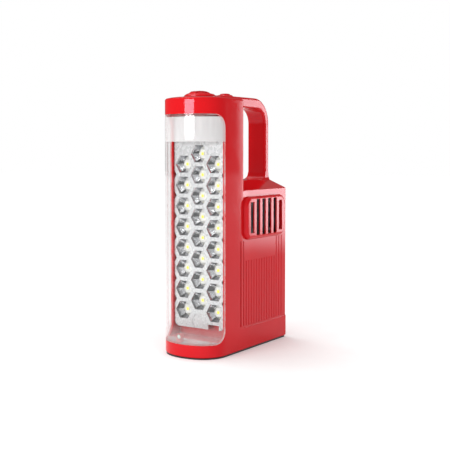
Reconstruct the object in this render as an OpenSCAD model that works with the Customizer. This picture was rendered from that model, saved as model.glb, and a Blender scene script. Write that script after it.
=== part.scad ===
// Rechargeable LED lantern with a siren, a battery box and a loop handle.
// +Z is up, the lens faces -Y, and the origin is the centre of the flat base.

/* [Body] */
// Width of the body
body_w = 72; // [64:1:90]
// Depth of the body, from the lens to the rear cover
body_d = 154; // [150:1:180]
// Depth of the light column
column_d = 64.3; // [62:0.1:66]
// Height of the column's rim
column_h = 270; // [268:1:300]
// Depth of the rounded nose, measured along Y
nose_d = 30; // [24:1:34]
// Wall thickness of the housing
wall = 2.5; // [2:0.1:3]
// Height of the battery box at its sides
shoulder_h = 172.5; // [170:0.5:176]
// Height of the ridge of the box's roof
ridge_h = 182; // [180:0.5:184]
// Height of the plinth band round the box
plinth_h = 25; // [20:1:30]

/* [Handle] */
// Width of the handle
handle_w = 24; // [20:1:28]
// Height of the handle's top
handle_top = 274.6; // [274:0.1:278]
// Thickness of the handle's top bar
handle_t = 11.6; // [10:0.1:12]
// Outer corner radius of the handle
handle_r = 28; // [24:1:32]
// Inner corner radius of the hand opening
opening_r = 17; // [12:1:20]
// Thickness of the handle's upright
upright_t = 8.9; // [8:0.1:12]

/* [Lens and light] */
// Height of the lens' lower edge
lens_z0 = 14.5; // [14:0.5:16]
// Height of the lens' upper edge
lens_z1 = 253; // [250:0.5:254]
// Depth of the lens, from the nose back
lens_d = 29.2; // [27:0.1:30]
// Corner radius of the lens
lens_r = 14.5; // [8:0.5:18]
// Vertical pitch of the lamps in a column
lamp_pitch = 22.4; // [22:0.1:22.6]
// Spacing of the three lamp columns
lamp_dx = 20.1; // [19.8:0.1:20.4]
// Number of lamps in a column
lamp_rows = 8; // [4:1:8]

/* [Controls] */
// Radius of the selector knob
knob_r = 17; // [14:0.5:17.5]
// Y of the knob's axis
knob_y = -42.8; // [-44:0.1:-42]
// Radius of the push button
button_r = 5.8; // [5:0.1:6]
// Y of the push button's axis
button_y = 3.8; // [0:0.1:8]
// Travel of the push button
button_travel = 1.5; // [1:0.1:1.5]

/* [Siren] */
// Y of the siren's axis
siren_y = 26.5; // [26:0.1:27]
// Height of the siren's axis
siren_z = 142.8; // [142:0.1:144]
// How far the grille stands out of the side
grille_t = 4.5; // [3.5:0.1:5]
// Number of slots in the grille
slots = 6; // [4:1:6]
// Pitch of the slots
slot_pitch = 11.7; // [11:0.1:12]
// Width of a slot
slot_w = 7.2; // [6:0.1:8]

/* [Battery] */
// Width of the battery, along X
battery_w = 47; // [40:1:50]
// Depth of the battery, along Y
battery_d = 70; // [60:1:70]
// Height of the battery's case
battery_h = 101; // [90:1:101]

/* [Hidden] */
red = [0.85, 0.1, 0.12];
steel = [0.75, 0.76, 0.78];
curve = 64;
e = 0.01;
big = 400;

// Outline of the body
half_w = body_w / 2;
front_y = -body_d / 2;
back_y = body_d / 2;
nose_y = front_y + nose_d;
nose_power = 2.15;
nose_steps = 60;
column_back = front_y + column_d;
rear_r = 4;
split_y = back_y - 4.1;
rim_r = 6;
crown_h = column_h + 2;
seat_h = 271;
side_inset = 0.8;
body_z0 = 1.5;

// Lens, reflector and tray
lens_back = front_y + lens_d;
lens_t = 2;
lens_gap = 0.15;
tray_y = -36.1;
tray_back = tray_y + wall;
board_t = 1.6;
led_plane = tray_y - board_t;
reflector_y = -45.5;
reflector_w = 64.4;
reflector_r = 6;
rib_pitch = 4;
lug_x0 = 12.5;
lug_x1 = 25.5;
lug_top = 31;
reflector_z0 = 26;
reflector_z1 = 250.7;
side_lamp_z = 44;
well_r = 10.55;
well_foot_r = 5.2;
indicator_z = 21.2;
indicator_x = -6;
indicator_y = -73.6;

// Handle
upright_y = back_y - upright_t;
opening_z1 = handle_top - handle_t;
strip_y = -24;

// Controls
switch_top = 268.5;
switch_z0 = 259;
bush_r = 4.5;
shaft_r = 3;
run = 0.05;
button_top = 277.8;
flange_z0 = 270.8;
floor_z = opening_z1 + wall;
switch_pad = 1.8;
spring_turns = 4;
spring_r = 4.4;
spring_wire = 0.45;

// Siren
baffle_t = 2;
grille_y0 = -14.7;
grille_y1 = 67.7;
grille_z0 = 119.5;
grille_z1 = 166;
slot_z0 = 123.5;
slot_z1 = 163;
inner_x = half_w - wall;
speaker_r = 24;
aperture_r = 22;

// Battery and electronics
battery_y = -12;
battery_z0 = 5;
battery_top = battery_z0 + battery_h;
bracket_y = 15;
bracket_x = 30.5;
board_y = -30;
board_z0 = 40;
board_z1 = 150;
board_back = board_y + board_t;
inlet_z = 35;
pin_dx = 4.3;
// The mains wires run up beside the pins, clear of the battery.
inlet_lead_x = pin_dx + 1.82;

// Fastener places
cover_side = [[30, 15], [30, 105], [20, 173]];
cover_mid = [200, 245];
base_points = [[18, -58], [30, 40]];
board_points = [[26, 46], [26, 144]];
reflector_points = [[24, 240], [-24, 240], [0, 33]];
baffle_points = [[-11.5, 121.5], [-11.5, 163], [64.5, 121.5], [64.5, 163]];
groove_long = [-18.9, -13.1, 55.3, 60.9, 66.4];
groove_short = [for (i = [0 : 11]) -7.7 + 5.3 * i];

// ---------- outlines ----------

// Points of the nose, a superellipse shrunk by t, from +X round the front to -X.
function nose_points(t) = [
    for (i = [0 : nose_steps])
        let (a = 180 * i / nose_steps,
             c = cos(a),
             x = (half_w - t) * sign(c) * pow(abs(c), 2 / nose_power),
             y = nose_y - (nose_d - t) * pow(sin(a), 2 / nose_power))
        [x, y]
];

// Plan of the column, shrunk by t.
module column_plan(t) {
    polygon(concat(nose_points(t), [[t - half_w, column_back - t], [half_w - t, column_back - t]]));
}

// Plan of the whole body, shrunk by t, with round rear corners.
module body_plan(t) {
    r = rear_r - min(t, rear_r - 1);
    union() {
        polygon(concat(nose_points(t),
            [[t - half_w, back_y - t - r], [half_w - t, back_y - t - r]]));
        translate([t - half_w + r, back_y - t - 2 * r])
            square([body_w - 2 * t - 2 * r, 2 * r]);
        for (s = [-1, 1])
            translate([s * (half_w - t - r), back_y - t - r])
                circle(r = r, $fn = curve);
    }
}

// Section of the box's roof across the body, shrunk by t.
module roof_section(t) {
    polygon([
        [t - half_w, shoulder_h - 20], [half_w - t, shoulder_h - 20],
        [half_w - t, shoulder_h - t - 2.6], [half_w - t - 2.2, shoulder_h - t],
        [handle_w / 2 + 6, ridge_h - t - 3.2], [handle_w / 2, ridge_h - t],
        [-handle_w / 2, ridge_h - t], [-handle_w / 2 - 6, ridge_h - t - 3.2],
        [t + 2.2 - half_w, shoulder_h - t], [t - half_w, shoulder_h - t - 2.6]
    ]);
}

// Side view of the handle in the YZ plane, shrunk by t, with its hand opening.
module handle_side(t) {
    arc_y = back_y - handle_r;
    arc_z = handle_top - handle_r;
    difference() {
        union() {
            polygon([[strip_y + t, crown_h - 8], [strip_y + t, crown_h - t - 0.5],
                [strip_y + 7 + t, handle_top - t], [arc_y, handle_top - t],
                [arc_y, crown_h - 12]]);
            translate([column_back - 4, arc_z])
                square([arc_y - column_back + 4, handle_top - t - arc_z]);
            translate([arc_y, arc_z])
                circle(r = handle_r - t, $fn = curve);
            translate([arc_y, ridge_h - 12])
                square([handle_r - t, arc_z - ridge_h + 12]);
        }
        hand_opening(t);
        translate([column_back - 10, 0])
            square([5.9, opening_z1 - t - 1]);
    }
}

// Side view of the hand opening, grown by t.
module hand_opening(t) {
    y0 = column_back - t;
    y1 = upright_y + t;
    z1 = opening_z1 + t;
    r = opening_r + t;
    translate([y0, ridge_h - 30])
        square([y1 - y0, z1 - r - ridge_h + 30]);
    translate([y0, z1 - r - e])
        square([y1 - y0 - r, r + e]);
    translate([y1 - r, z1 - r])
        circle(r = r, $fn = curve);
}

// Extrudes a YZ outline along X, centred on x = 0.
module along_x(width) {
    rotate([90, 0, 90])
        translate([0, 0, -width / 2])
            linear_extrude(width)
                children();
}

// Extrudes an XZ outline along Y, from y0 to y1.
module along_y(y0, y1) {
    translate([0, y1, 0])
        rotate([90, 0, 0])
            linear_extrude(y1 - y0)
                children();
}

// Rounded crown of the column, shrunk by t.
module crown(t) {
    hull() {
        for (a = [0 : 22.5 : 90])
            translate([0, 0, column_h - rim_r - t + rim_r * sin(a)])
                linear_extrude(e)
                    column_plan(t + rim_r * (1 - cos(a)));
        translate([0, 0, crown_h - t - e])
            linear_extrude(e)
                column_plan(t + 19);
    }
}

// Whole outside of the body, shrunk by t. With t = wall it is the hollow inside.
module body_volume(t) {
    union() {
        translate([0, 0, body_z0 - t])
            linear_extrude(shoulder_h - 12 - body_z0)
                body_plan(t);
        intersection() {
            along_y(column_back - 8, back_y - t)
                roof_section(t);
            translate([0, 0, shoulder_h - 20])
                linear_extrude(ridge_h - shoulder_h + 20)
                    body_plan(t);
        }
        translate([0, 0, shoulder_h - 30])
            linear_extrude(column_h - rim_r - t - shoulder_h + 30 + e)
                column_plan(t);
        crown(t);
        along_x(handle_w - 2 * t)
            handle_side(t);
    }
}

// Everything behind a plane at y.
module behind(y) {
    translate([-big / 2, y, -big / 4])
        cube([big, big, big]);
}

// Everything in front of a plane at y.
module ahead(y) {
    translate([-big / 2, y - big, -big / 4])
        cube([big, big, big]);
}

// Side outline of the lens, shrunk by t.
module lens_side(t) {
    r = lens_r;
    y1 = lens_back - t;
    difference() {
        translate([front_y - 5, lens_z0 + t])
            square([y1 - front_y + 5, lens_z1 - lens_z0 - 2 * t]);
        for (s = [0, 1])
            translate([y1 - r, s ? lens_z1 - t - r : lens_z0 + t + r])
                difference() {
                    translate([0, s ? 0 : -r - e])
                        square([r + e, r + e]);
                    circle(r = r, $fn = curve);
                }
    }
}

// Puts children at each point and at its mirror image in X.
module at_both_sides(points) {
    for (p = points)
        for (s = [-1, 1])
            translate([s * p[0], p[1], 0])
                children();
}

// Cylinder along Y, from y0 to y1, at x and z.
module rod_y(x, z, r, y0, y1) {
    translate([x, y1, z])
        rotate([90, 0, 0])
            cylinder(r = r, h = y1 - y0, $fn = curve);
}

// Cylinder along X, from x0 to x1, at y and z.
module rod_x(y, z, r, x0, x1) {
    translate([x0, y, z])
        rotate([0, 90, 0])
            cylinder(r = r, h = x1 - x0, $fn = curve);
}

// Places of the rear cover's screws: [x, z].
function cover_places() = concat(
    [for (p = cover_side) for (s = [-1, 1]) [s * p[0], p[1]]],
    [for (z = cover_mid) [0, z]]);

// ---------- housing ----------

module front_housing() {
    color(red)
        difference() {
            union() {
                difference() {
                    intersection() {
                        body_volume(0);
                        ahead(split_y);
                    }
                    hollow_inside();
                    side_recess();
                    grooves();
                    along_x(big)
                        lens_side(0);
                    tray_space();
                }
                inner_bosses();
            }
            housing_holes();
        }
}

// The hollow for the battery, the boards and the switches.
module hollow_inside() {
    intersection() {
        body_volume(wall);
        union() {
            behind(tray_back);
            translate([-big / 2, front_y, lens_z1 + wall])
                cube([big, big, big]);
            translate([-big / 2, front_y, -big + lens_z0 - wall])
                cube([big, big, big]);
        }
    }
}

// The space behind the lens, down to the tray.
module tray_space() {
    intersection() {
        translate([0, 0, lens_z0 + 1.5])
            linear_extrude(lens_z1 - lens_z0 - 3)
                column_plan(3.3);
        ahead(tray_y);
    }
}

// Steps the box's sides in above the plinth, fading out towards the column.
module side_recess() {
    for (s = [0, 1])
        mirror([s, 0, 0])
            translate([0, 0, plinth_h])
                linear_extrude(shoulder_h - plinth_h + 1)
                    polygon([[half_w + 1, -26], [half_w, -26], [half_w - side_inset, 0],
                        [half_w - side_inset, back_y + 1], [half_w + 1, back_y + 1]]);
}

// Fine vertical grooves on the box's sides.
module grooves() {
    for (s = [0, 1])
        mirror([s, 0, 0]) {
            for (y = groove_long)
                groove(y, y < 0 ? 118 : 120);
            for (y = groove_short)
                groove(y, y < 0 ? 96 : 98);
        }
}

module groove(y, top) {
    translate([half_w - side_inset - 0.7, y - 0.65, plinth_h + 2])
        cube([3, 1.3, top - plinth_h - 2]);
}

// Bosses for the screws, the knob's flat seat and the ribs that hold the transformer.
module inner_bosses() {
    intersection() {
        union() {
            for (p = cover_places())
                rod_y(p[0], p[1], 3.6, abs(p[0]) > 1 ? 60 : upright_y + 1, split_y);
            for (s = [-1, 1]) {
                translate([s * base_points[0][0], base_points[0][1], 4.2])
                    cylinder(r = 3.6, h = 9, $fn = curve);
                translate([s * base_points[1][0], base_points[1][1], 4.2])
                    cylinder(r = 3.6, h = 20, $fn = curve);
                for (p = board_points)
                    rod_y(s * p[0], p[1], 3, tray_back - e, board_y);
                translate([s * (bracket_x + 0.5) - 3, bracket_y - 7, battery_top - 10])
                    cube([6, 14, 12]);
            }
            for (z = [112.6, 150.4])
                translate([-34, 22, z])
                    cube([9, 24, 2]);
            translate([0, knob_y, switch_top])
                cylinder(r = 12.5, h = 2, $fn = curve);
            translate([lug_x0, reflector_y - 0.4, lens_z0])
                cube([lug_x1 - lug_x0, tray_y + 1 - reflector_y, lug_top - lens_z0]);
        }
        body_volume(1);
    }
}

// Bores and openings of the front housing.
module housing_holes() {
    translate([0, knob_y, seat_h])
        cylinder(r = knob_r + 1, h = 20, $fn = curve);
    translate([0, knob_y, 262])
        cylinder(r = bush_r + 0.1, h = 20, $fn = curve);
    translate([0, button_y, floor_z + 2])
        cylinder(r = 7, h = 20, $fn = curve);
    translate([inner_x - 5, siren_y - 35, slot_z0 - 2])
        cube([20, 70, slot_z1 - slot_z0 + 4]);
    for (p = cover_places())
        rod_y(p[0], p[1], 1.3, abs(p[0]) > 1 ? 62 : upright_y + 2, split_y + 1);
    at_both_sides(base_points)
        translate([0, 0, 3])
            cylinder(r = 1.3, h = 8.6, $fn = curve);
    for (p = board_points)
        for (s = [-1, 1])
            rod_y(s * p[0], p[1], 1.1, tray_back + 0.4, board_y + 1);
    for (p = reflector_points)
        rod_y(p[0], p[1], 1.6, tray_y - 1, tray_back + 1);
    for (s = [-1, 1])
        translate([s * bracket_x, bracket_y, battery_top - 6])
            cylinder(r = 1.1, h = 20, $fn = curve);
    for (p = baffle_points)
        rod_x(p[0], p[1], 1.1, inner_x - 1, half_w - 1.2);
    rod_y(-15.5, 170, 4, tray_y - 1, tray_back + 1);
}

// Rear cover: a shallow pan with the rear half of the handle's upright.
module rear_cover() {
    color(red)
        difference() {
            union() {
                difference() {
                    intersection() {
                        body_volume(0);
                        behind(split_y);
                    }
                    side_recess();
                    intersection() {
                        body_volume(wall);
                        ahead(back_y - wall);
                        behind(split_y - 1);
                    }
                }
                intersection() {
                    union() {
                        for (p = cover_places())
                            rod_y(p[0], p[1], 4.2, split_y, back_y - 1);
                        translate([-14, split_y, inlet_z - 10])
                            cube([28, 3, 20]);
                    }
                    body_volume(1);
                }
            }
            for (p = cover_places()) {
                rod_y(p[0], p[1], 1.7, split_y - 1, back_y + 1);
                rod_y(p[0], p[1], 3.2, back_y - 2, back_y + 1);
            }
            along_y(split_y - 1, back_y + 1)
                translate([0, inlet_z])
                    inlet_outline(0.15);
        }
}

// Base plate: a flat sole with a plug that fits inside the walls.
module base_plate() {
    color([0.06, 0.06, 0.065])
        difference() {
            union() {
                linear_extrude(body_z0)
                    body_plan(0.8);
                translate([0, 0, body_z0])
                    linear_extrude(wall)
                        intersection() {
                            body_plan(wall + 0.2);
                            translate([-half_w, front_y])
                                square([body_w, split_y - front_y - 0.2]);
                        }
            }
            at_both_sides(base_points) {
                cylinder(r = 1.7, h = 9, center = true, $fn = curve);
                cylinder(r = 3.2, h = 4.2, center = true, $fn = curve);
            }
        }
}

// ---------- light ----------

// Clear cover that wraps round the nose, with a thin flange at its foot and head.
module lens_cover() {
    color([0.9, 0.95, 1, 0.35])
        difference() {
            intersection() {
                translate([0, 0, lens_z0 + lens_gap])
                    linear_extrude(lens_z1 - lens_z0 - 2 * lens_gap)
                        column_plan(0.1);
                along_x(big)
                    lens_side(lens_gap);
            }
            translate([0, 0, lens_z0 + 1.4])
                linear_extrude(lens_z1 - lens_z0 - 2.8)
                    column_plan(lens_t);
            translate([indicator_x - 4.5, indicator_y - 0.2, 0])
                cube([9, 8, lens_z1 / 2]);
        }
}

// Plated plate with a hexagonal well round every lamp.
module reflector() {
    cup_t = 1;
    rim_t = 1.5;
    depth = led_plane - reflector_y - 0.1;
    color([0.88, 0.89, 0.9])
        difference() {
            union() {
                reflector_block(0, rim_t);
                difference() {
                    reflector_block(0, depth);
                    reflector_block(1.2, depth + 1);
                }
                for (p = lamp_places())
                    well(p, well_r, well_foot_r, cup_t, depth);
                for (p = reflector_points)
                    rod_y(p[0], p[1], 3, reflector_y + 1, reflector_y + depth);
                for (i = [0 : 3])
                    rod_x(reflector_y + 0.3, reflector_z1 - 10.5 - rib_pitch * i, 0.8, 0, 13);
            }
            for (p = lamp_places())
                well(p, well_r, well_foot_r, 0, depth);
            for (p = reflector_points)
                rod_y(p[0], p[1], 1.1, reflector_y + 2.5, reflector_y + depth + 1);
            translate([0, 0.55 + reflector_y, 0])
                reflector_blank();
            edge_notches(depth);
            translate([lug_x0 - 0.3, reflector_y - 1, 0])
                cube([lug_x1 - lug_x0 + 0.6, depth + 3, lug_top + 0.3]);
        }
}

// Shallow hexagon below the centre column, in the place of a ninth lamp.
module reflector_blank() {
    translate([0, -1, side_lamp_z - lamp_pitch / 2])
        rotate([-90, 0, 0])
            cylinder(r = well_r - 1, h = 1, $fn = 6);
}

// Hexagonal bites between the wells along both sides of the plate.
module edge_notches(depth) {
    for (s = [-1, 1])
        for (k = [0 : lamp_rows - 2])
            translate([s * (reflector_w / 2 + 2.8), reflector_y - 1,
                side_lamp_z + lamp_pitch * (k + 0.5)])
                rotate([-90, 0, 0])
                    cylinder(r = 5.5, h = depth + 3, $fn = 6);
}

// Block of the reflector's outline, shrunk by t, from its front face back.
module reflector_block(t, depth) {
    r = reflector_r;
    ahead_by = t > 0 ? 0.5 : 0;
    along_y(reflector_y - ahead_by, reflector_y + depth)
        union() {
            for (x = [-1, 1])
                for (z = [reflector_z0 + r, reflector_z1 - r])
                    translate([x * (reflector_w / 2 - r), z])
                        circle(r = r - t, $fn = curve);
            translate([r - reflector_w / 2, reflector_z0 + t])
                square([reflector_w - 2 * r, reflector_z1 - reflector_z0 - 2 * t]);
            translate([t - reflector_w / 2, reflector_z0 + r])
                square([reflector_w - 2 * t, reflector_z1 - reflector_z0 - 2 * r]);
        }
}

// One tapered hexagonal well; with t > 0 the cup's outside.
module well(p, r1, r2, t, depth) {
    gap = t > 0 ? 0 : 0.05;
    translate([p[0], reflector_y - gap, p[1]])
        rotate([-90, 0, 0])
            cylinder(r1 = r1 + t, r2 = r2 + t, h = depth + 2 * gap, $fn = 6);
}

// Lamp centres [x, z]: two side columns and a centre column half a pitch higher.
function lamp_places() = [
    for (c = [-1, 0, 1])
        for (k = [0 : lamp_rows - 1])
            [c * lamp_dx, side_lamp_z + (c == 0 ? lamp_pitch / 2 : 0) + lamp_pitch * k]
];

module led_board() {
    color([0.93, 0.93, 0.9])
        difference() {
            translate([-31, led_plane, 30])
                cube([62, board_t, 216]);
            translate([lug_x0 - 0.3, led_plane - 1, 29])
                cube([lug_x1 - lug_x0 + 0.6, board_t + 2, lug_top - 28.7]);
            for (p = reflector_points)
                rod_y(p[0], p[1], 1.6, led_plane - 1, tray_y + 1);
        }
}

module led_chips() {
    color([0.98, 0.9, 0.35])
        for (p = lamp_places())
            translate([p[0] - 1.8, led_plane - 1, p[1] - 1.8])
                cube([3.6, 1, 3.6]);
}

// Small red stand on the lower shelf that holds the charge indicator.
module indicator_holder() {
    shelf_z = lens_z0 + 1.5;
    color(red)
        difference() {
            union() {
                rod_y(indicator_x, indicator_z, 3.4, indicator_y, indicator_y + 6);
                translate([indicator_x - 2.4, indicator_y, lens_z0])
                    cube([4.8, 6, indicator_z - lens_z0]);
                translate([indicator_x - 3.4, indicator_y, lens_z0])
                    cube([6.8, 6, shelf_z - lens_z0 + 0.5]);
            }
            rod_y(indicator_x, indicator_z, 2.55, indicator_y - 1, indicator_y + 5);
        }
}

module indicator_led() {
    color([0.75, 0.95, 0.8])
        intersection() {
            rod_y(indicator_x, indicator_z, 2.5, indicator_y - 0.3, indicator_y + 5);
            translate([indicator_x, indicator_y + 2.2, indicator_z])
                rotate([-90, 0, 0])
                    union() {
                        sphere(r = 2.5, $fn = curve);
                        cylinder(r = 2.5, h = 4, $fn = curve);
                    }
        }
}

// ---------- selector ----------

// Round knob: a domed skirt with a raised grip bar, on the switch's shaft.
module selector_knob() {
    color(red)
        translate([0, knob_y, 0])
            difference() {
                union() {
                    rotate_extrude($fn = curve)
                        polygon([[0, 271.4], [knob_r - 0.6, 271.4], [knob_r, 272],
                            [knob_r - 0.2, 272.9], [knob_r - 2.5, 274.4], [knob_r - 6, 275.5],
                            [knob_r - 11, 276.1], [0, 276.3]]);
                    intersection() {
                        translate([-4, -14, 272])
                            cube([8, 28, 6]);
                        translate([0, 0, 264])
                            cylinder(r1 = 26, r2 = 11.5, h = 14, $fn = curve);
                    }
                }
                cylinder(r = 9, h = 274, $fn = curve);
                cylinder(r = shaft_r + 0.02, h = 276.8, $fn = curve);
            }
}

module switch_shaft() {
    color(steel)
        translate([0, knob_y, switch_z0 + 1.5])
            cylinder(r = shaft_r, h = 276.6 - switch_z0 - 1.5, $fn = curve);
}

module rotary_switch() {
    color([0.2, 0.35, 0.3])
        translate([0, knob_y, 0])
            difference() {
                union() {
                    translate([0, 0, switch_z0])
                        cylinder(r = 12, h = switch_top - switch_z0, $fn = curve);
                    cylinder(r = bush_r, h = 273.4, $fn = curve);
                }
                cylinder(r = bush_r + 1, h = switch_z0, $fn = curve);
                translate([0, 0, switch_z0 + 1.4])
                    cylinder(r = shaft_r + run, h = 20, $fn = curve);
            }
}

module switch_nut() {
    color(steel)
        translate([0, knob_y, seat_h])
            difference() {
                cylinder(r = 7, h = 2, $fn = 6);
                cylinder(r = bush_r + 0.03, h = 9, center = true, $fn = curve);
            }
}

// ---------- push button ----------

module button_bezel() {
    color(red)
        translate([0, button_y, 0])
            difference() {
                union() {
                    translate([0, 0, handle_top])
                        cylinder(r1 = 9, r2 = 7.6, h = 1.5, $fn = curve);
                    translate([0, 0, handle_top - wall])
                        cylinder(r = 6.95, h = wall, $fn = curve);
                }
                cylinder(r = button_r + run, h = big, $fn = curve);
            }
}

module push_button() {
    color([0.8, 0.07, 0.1])
        translate([0, button_y, 0])
            rotate_extrude($fn = curve)
                polygon([[0, flange_z0], [7, flange_z0], [7, handle_top - wall - 0.2],
                    [button_r, handle_top - wall - 0.2], [button_r, button_top - 1.2],
                    [button_r - 0.5, button_top - 0.5], [button_r - 1.8, button_top - 0.1],
                    [0, button_top]]);
}

// Points of a ring across the spring wire at turn angle a.
function spring_ring(a, z0, rise) = [
    for (k = [0 : 5])
        let (r = spring_r + spring_wire / 2 * cos(60 * k))
        [r * cos(a), r * sin(a), z0 + rise * a / (360 * spring_turns)
            + spring_wire / 2 * sin(60 * k)]
];

module button_spring() {
    z0 = floor_z + switch_pad + spring_wire / 2 + 0.06;
    rise = flange_z0 - floor_z - switch_pad - spring_wire - 0.12;
    steps = 16 * spring_turns;
    points = [for (i = [0 : steps]) each spring_ring(22.5 * i, z0, rise)];
    sides = [for (i = [0 : steps - 1]) for (k = [0 : 5])
        [6 * i + k, 6 * i + (k + 1) % 6, 6 * i + 6 + (k + 1) % 6, 6 * i + 6 + k]];
    ends = [[5, 4, 3, 2, 1, 0], [for (k = [0 : 5]) 6 * steps + k]];
    color(steel)
        translate([0, button_y, 0])
            polyhedron(points = points, faces = concat(sides, ends));
}

module push_switch() {
    color([0.12, 0.12, 0.13])
        translate([0, button_y, floor_z]) {
            translate([-6, -6, 0])
                cube([12, 12, switch_pad]);
            cylinder(r = 2, h = 3.3, $fn = curve);
        }
}

// ---------- siren ----------

// Outline of the grille's frame, shrunk by t, in the YZ plane.
module grille_outline(t) {
    r = 10 - t;
    for (y = [grille_y0 + 10, grille_y1 - 10])
        for (z = [grille_z0 + 10, grille_z1 - 10])
            translate([y, z])
                circle(r = r, $fn = curve);
    translate([grille_y0 + 10, grille_z0 + t])
        square([grille_y1 - grille_y0 - 20, grille_z1 - grille_z0 - 2 * t]);
    translate([grille_y0 + t, grille_z0 + 10])
        square([grille_y1 - grille_y0 - 2 * t, grille_z1 - grille_z0 - 20]);
}

// Slots of the grille; the first and the last are shorter.
module grille_slots() {
    for (i = [0 : slots - 1]) {
        cut = (i == 0 || i == slots - 1) ? 3 : 0;
        translate([siren_y + (i - (slots - 1) / 2) * slot_pitch - slot_w / 2, slot_z0 + cut])
            square([slot_w, slot_z1 - slot_z0 - 2 * cut]);
    }
}

module speaker_grille() {
    face_x = half_w + grille_t;
    color(red)
        difference() {
            union() {
                translate([half_w, 0, 0])
                    rotate([90, 0, 90]) {
                        linear_extrude(grille_t - 1.5)
                            grille_outline(0);
                        linear_extrude(grille_t - 0.7)
                            grille_outline(0.7);
                        linear_extrude(grille_t)
                            grille_outline(1.6);
                    }
                translate([inner_x + 0.05, siren_y - 34.7, slot_z0 - 1.7])
                    cube([wall, 69.4, slot_z1 - slot_z0 + 3.4]);
            }
            translate([inner_x - 1, 0, 0])
                rotate([90, 0, 90])
                    linear_extrude(big)
                        grille_slots();
            translate([inner_x - 1, siren_y - 32.8, slot_z0 + 0.2])
                cube([face_x - inner_x - 1, 65.6, slot_z1 - slot_z0 - 0.4]);
        }
}

// Black plate behind the grille that carries the speaker.
module speaker_baffle() {
    color([0.08, 0.08, 0.08])
        difference() {
            translate([inner_x - baffle_t, -15, 118])
                cube([baffle_t, 83, 48.5]);
            rod_x(siren_y, siren_z, aperture_r, 0, half_w);
            for (p = baffle_points)
                rod_x(p[0], p[1], 1.5, 0, half_w);
        }
}

module speaker_frame() {
    x = inner_x - baffle_t;
    color([0.35, 0.36, 0.38])
        translate([0, siren_y, siren_z])
            rotate([0, 90, 0])
                rotate_extrude($fn = curve)
                    polygon([[21.5, x], [speaker_r, x], [speaker_r, x - 1.2], [22.8, x - 1.2],
                        [14, x - 12], [6, x - 12], [6, x - 10.8], [13.4, x - 10.8],
                        [21.5, x - 2]]);
}

module speaker_cone() {
    x = inner_x - baffle_t;
    color([0.2, 0.2, 0.21])
        translate([0, siren_y, siren_z])
            rotate([0, 90, 0])
                rotate_extrude($fn = curve)
                    polygon([[0, x - 4.2], [4, x - 4.9], [7, x - 6.6], [19, x - 1.8],
                        [20.2, x - 1.1], [21.3, x - 1.5], [21.3, x - 2.1], [20.2, x - 1.8],
                        [19, x - 2.5], [7, x - 7.3], [0, x - 7.3]]);
}

module speaker_magnet() {
    x = inner_x - baffle_t - 12;
    color([0.3, 0.3, 0.32])
        difference() {
            union() {
                rod_x(siren_y, siren_z, 13.5, x - 6, x);
                rod_x(siren_y, siren_z, 5, x - 6, x + 4);
            }
            rod_x(siren_y, siren_z, 2, x - 7, x + 5);
        }
}

// ---------- battery and electronics ----------

module battery() {
    color([0.25, 0.27, 0.3])
        translate([-battery_w / 2, battery_y, battery_z0])
            cube([battery_w, battery_d, battery_h]);
}

module battery_terminals() {
    color([0.8, 0.65, 0.3])
        for (s = [-1, 1])
            translate([s * 15 - 3.15, battery_y + 5, battery_top])
                cube([6.3, 0.8, 6]);
}

module battery_foam() {
    color([0.15, 0.15, 0.15])
        translate([-20, bracket_y - 8, battery_top])
            cube([40, 16, 2]);
}

module battery_bracket() {
    color([0.7, 0.71, 0.72])
        difference() {
            translate([-33.3, bracket_y - 6.5, battery_top + 2])
                cube([66.6, 13, 2]);
            for (s = [-1, 1])
                translate([s * bracket_x, bracket_y, battery_top])
                    cylinder(r = 1.5, h = 9, $fn = curve);
        }
}

module charger_board() {
    color([0.1, 0.4, 0.2])
        difference() {
            translate([-30, board_y, board_z0])
                cube([60, board_t, board_z1 - board_z0]);
            for (p = board_points)
                for (s = [-1, 1])
                    rod_y(s * p[0], p[1], 1.5, board_y - 1, board_back + 1);
        }
}

module capacitors() {
    color([0.1, 0.15, 0.35])
        for (z = [78, 92])
            rod_y(-18, z, 5, board_back, board_back + 12);
}

module relay() {
    color([0.2, 0.35, 0.7])
        translate([10, board_back, 76])
            cube([15, 14, 19]);
}

module fuse() {
    color([0.85, 0.88, 0.9])
        rod_x(board_back + 2.6, 60, 2.6, -10, 10);
}

module transformer_core() {
    color([0.3, 0.3, 0.31])
        difference() {
            translate([-33.3, 26, 114.7])
                cube([29, 16, 35.6]);
            for (x = [-27.6, -13.9])
                translate([x, 25, 121])
                    cube([3.9, 18, 23]);
        }
}

module transformer_coil() {
    color([0.85, 0.75, 0.25])
        difference() {
            translate([-27.4, 20, 121.5])
                cube([17.2, 28, 22]);
            translate([-23.8, 25.9, 120])
                cube([10, 16.2, 25]);
        }
}

// Outline of the inlet's face, grown by t.
module inlet_outline(t) {
    for (s = [-1, 1])
        translate([s * 6, 0])
            circle(r = 6 + t, $fn = curve);
    translate([-6, -6 - t])
        square([12, 12 + 2 * t]);
}

module mains_inlet() {
    color([0.05, 0.05, 0.05])
        difference() {
            union() {
                along_y(60, back_y - 0.4)
                    translate([0, inlet_z])
                        inlet_outline(0);
                translate([-13, 66.5, inlet_z - 8])
                    cube([26, split_y - 66.5, 16]);
            }
            for (s = [-1, 1])
                rod_y(s * pin_dx, inlet_z, 3.9, 64, back_y + 1);
            translate([-pin_dx, 64, inlet_z - 2.9])
                cube([2 * pin_dx, 20, 5.8]);
            for (s = [-1, 1])
                rod_y(s * pin_dx, inlet_z, 1.2, 59, 65);
        }
}

module inlet_pins() {
    color(steel)
        for (s = [-1, 1])
            rod_y(s * pin_dx, inlet_z, 1.2, 59, 73);
}

// ---------- wires ----------

function unit(v) = v / norm(v);

// Direction of a route at its point i.
function heading(route, i) = unit(
    (i > 0 ? unit(route[i] - route[i - 1]) : [0, 0, 0])
    + (i < len(route) - 1 ? unit(route[i + 1] - route[i]) : [0, 0, 0]));

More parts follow.
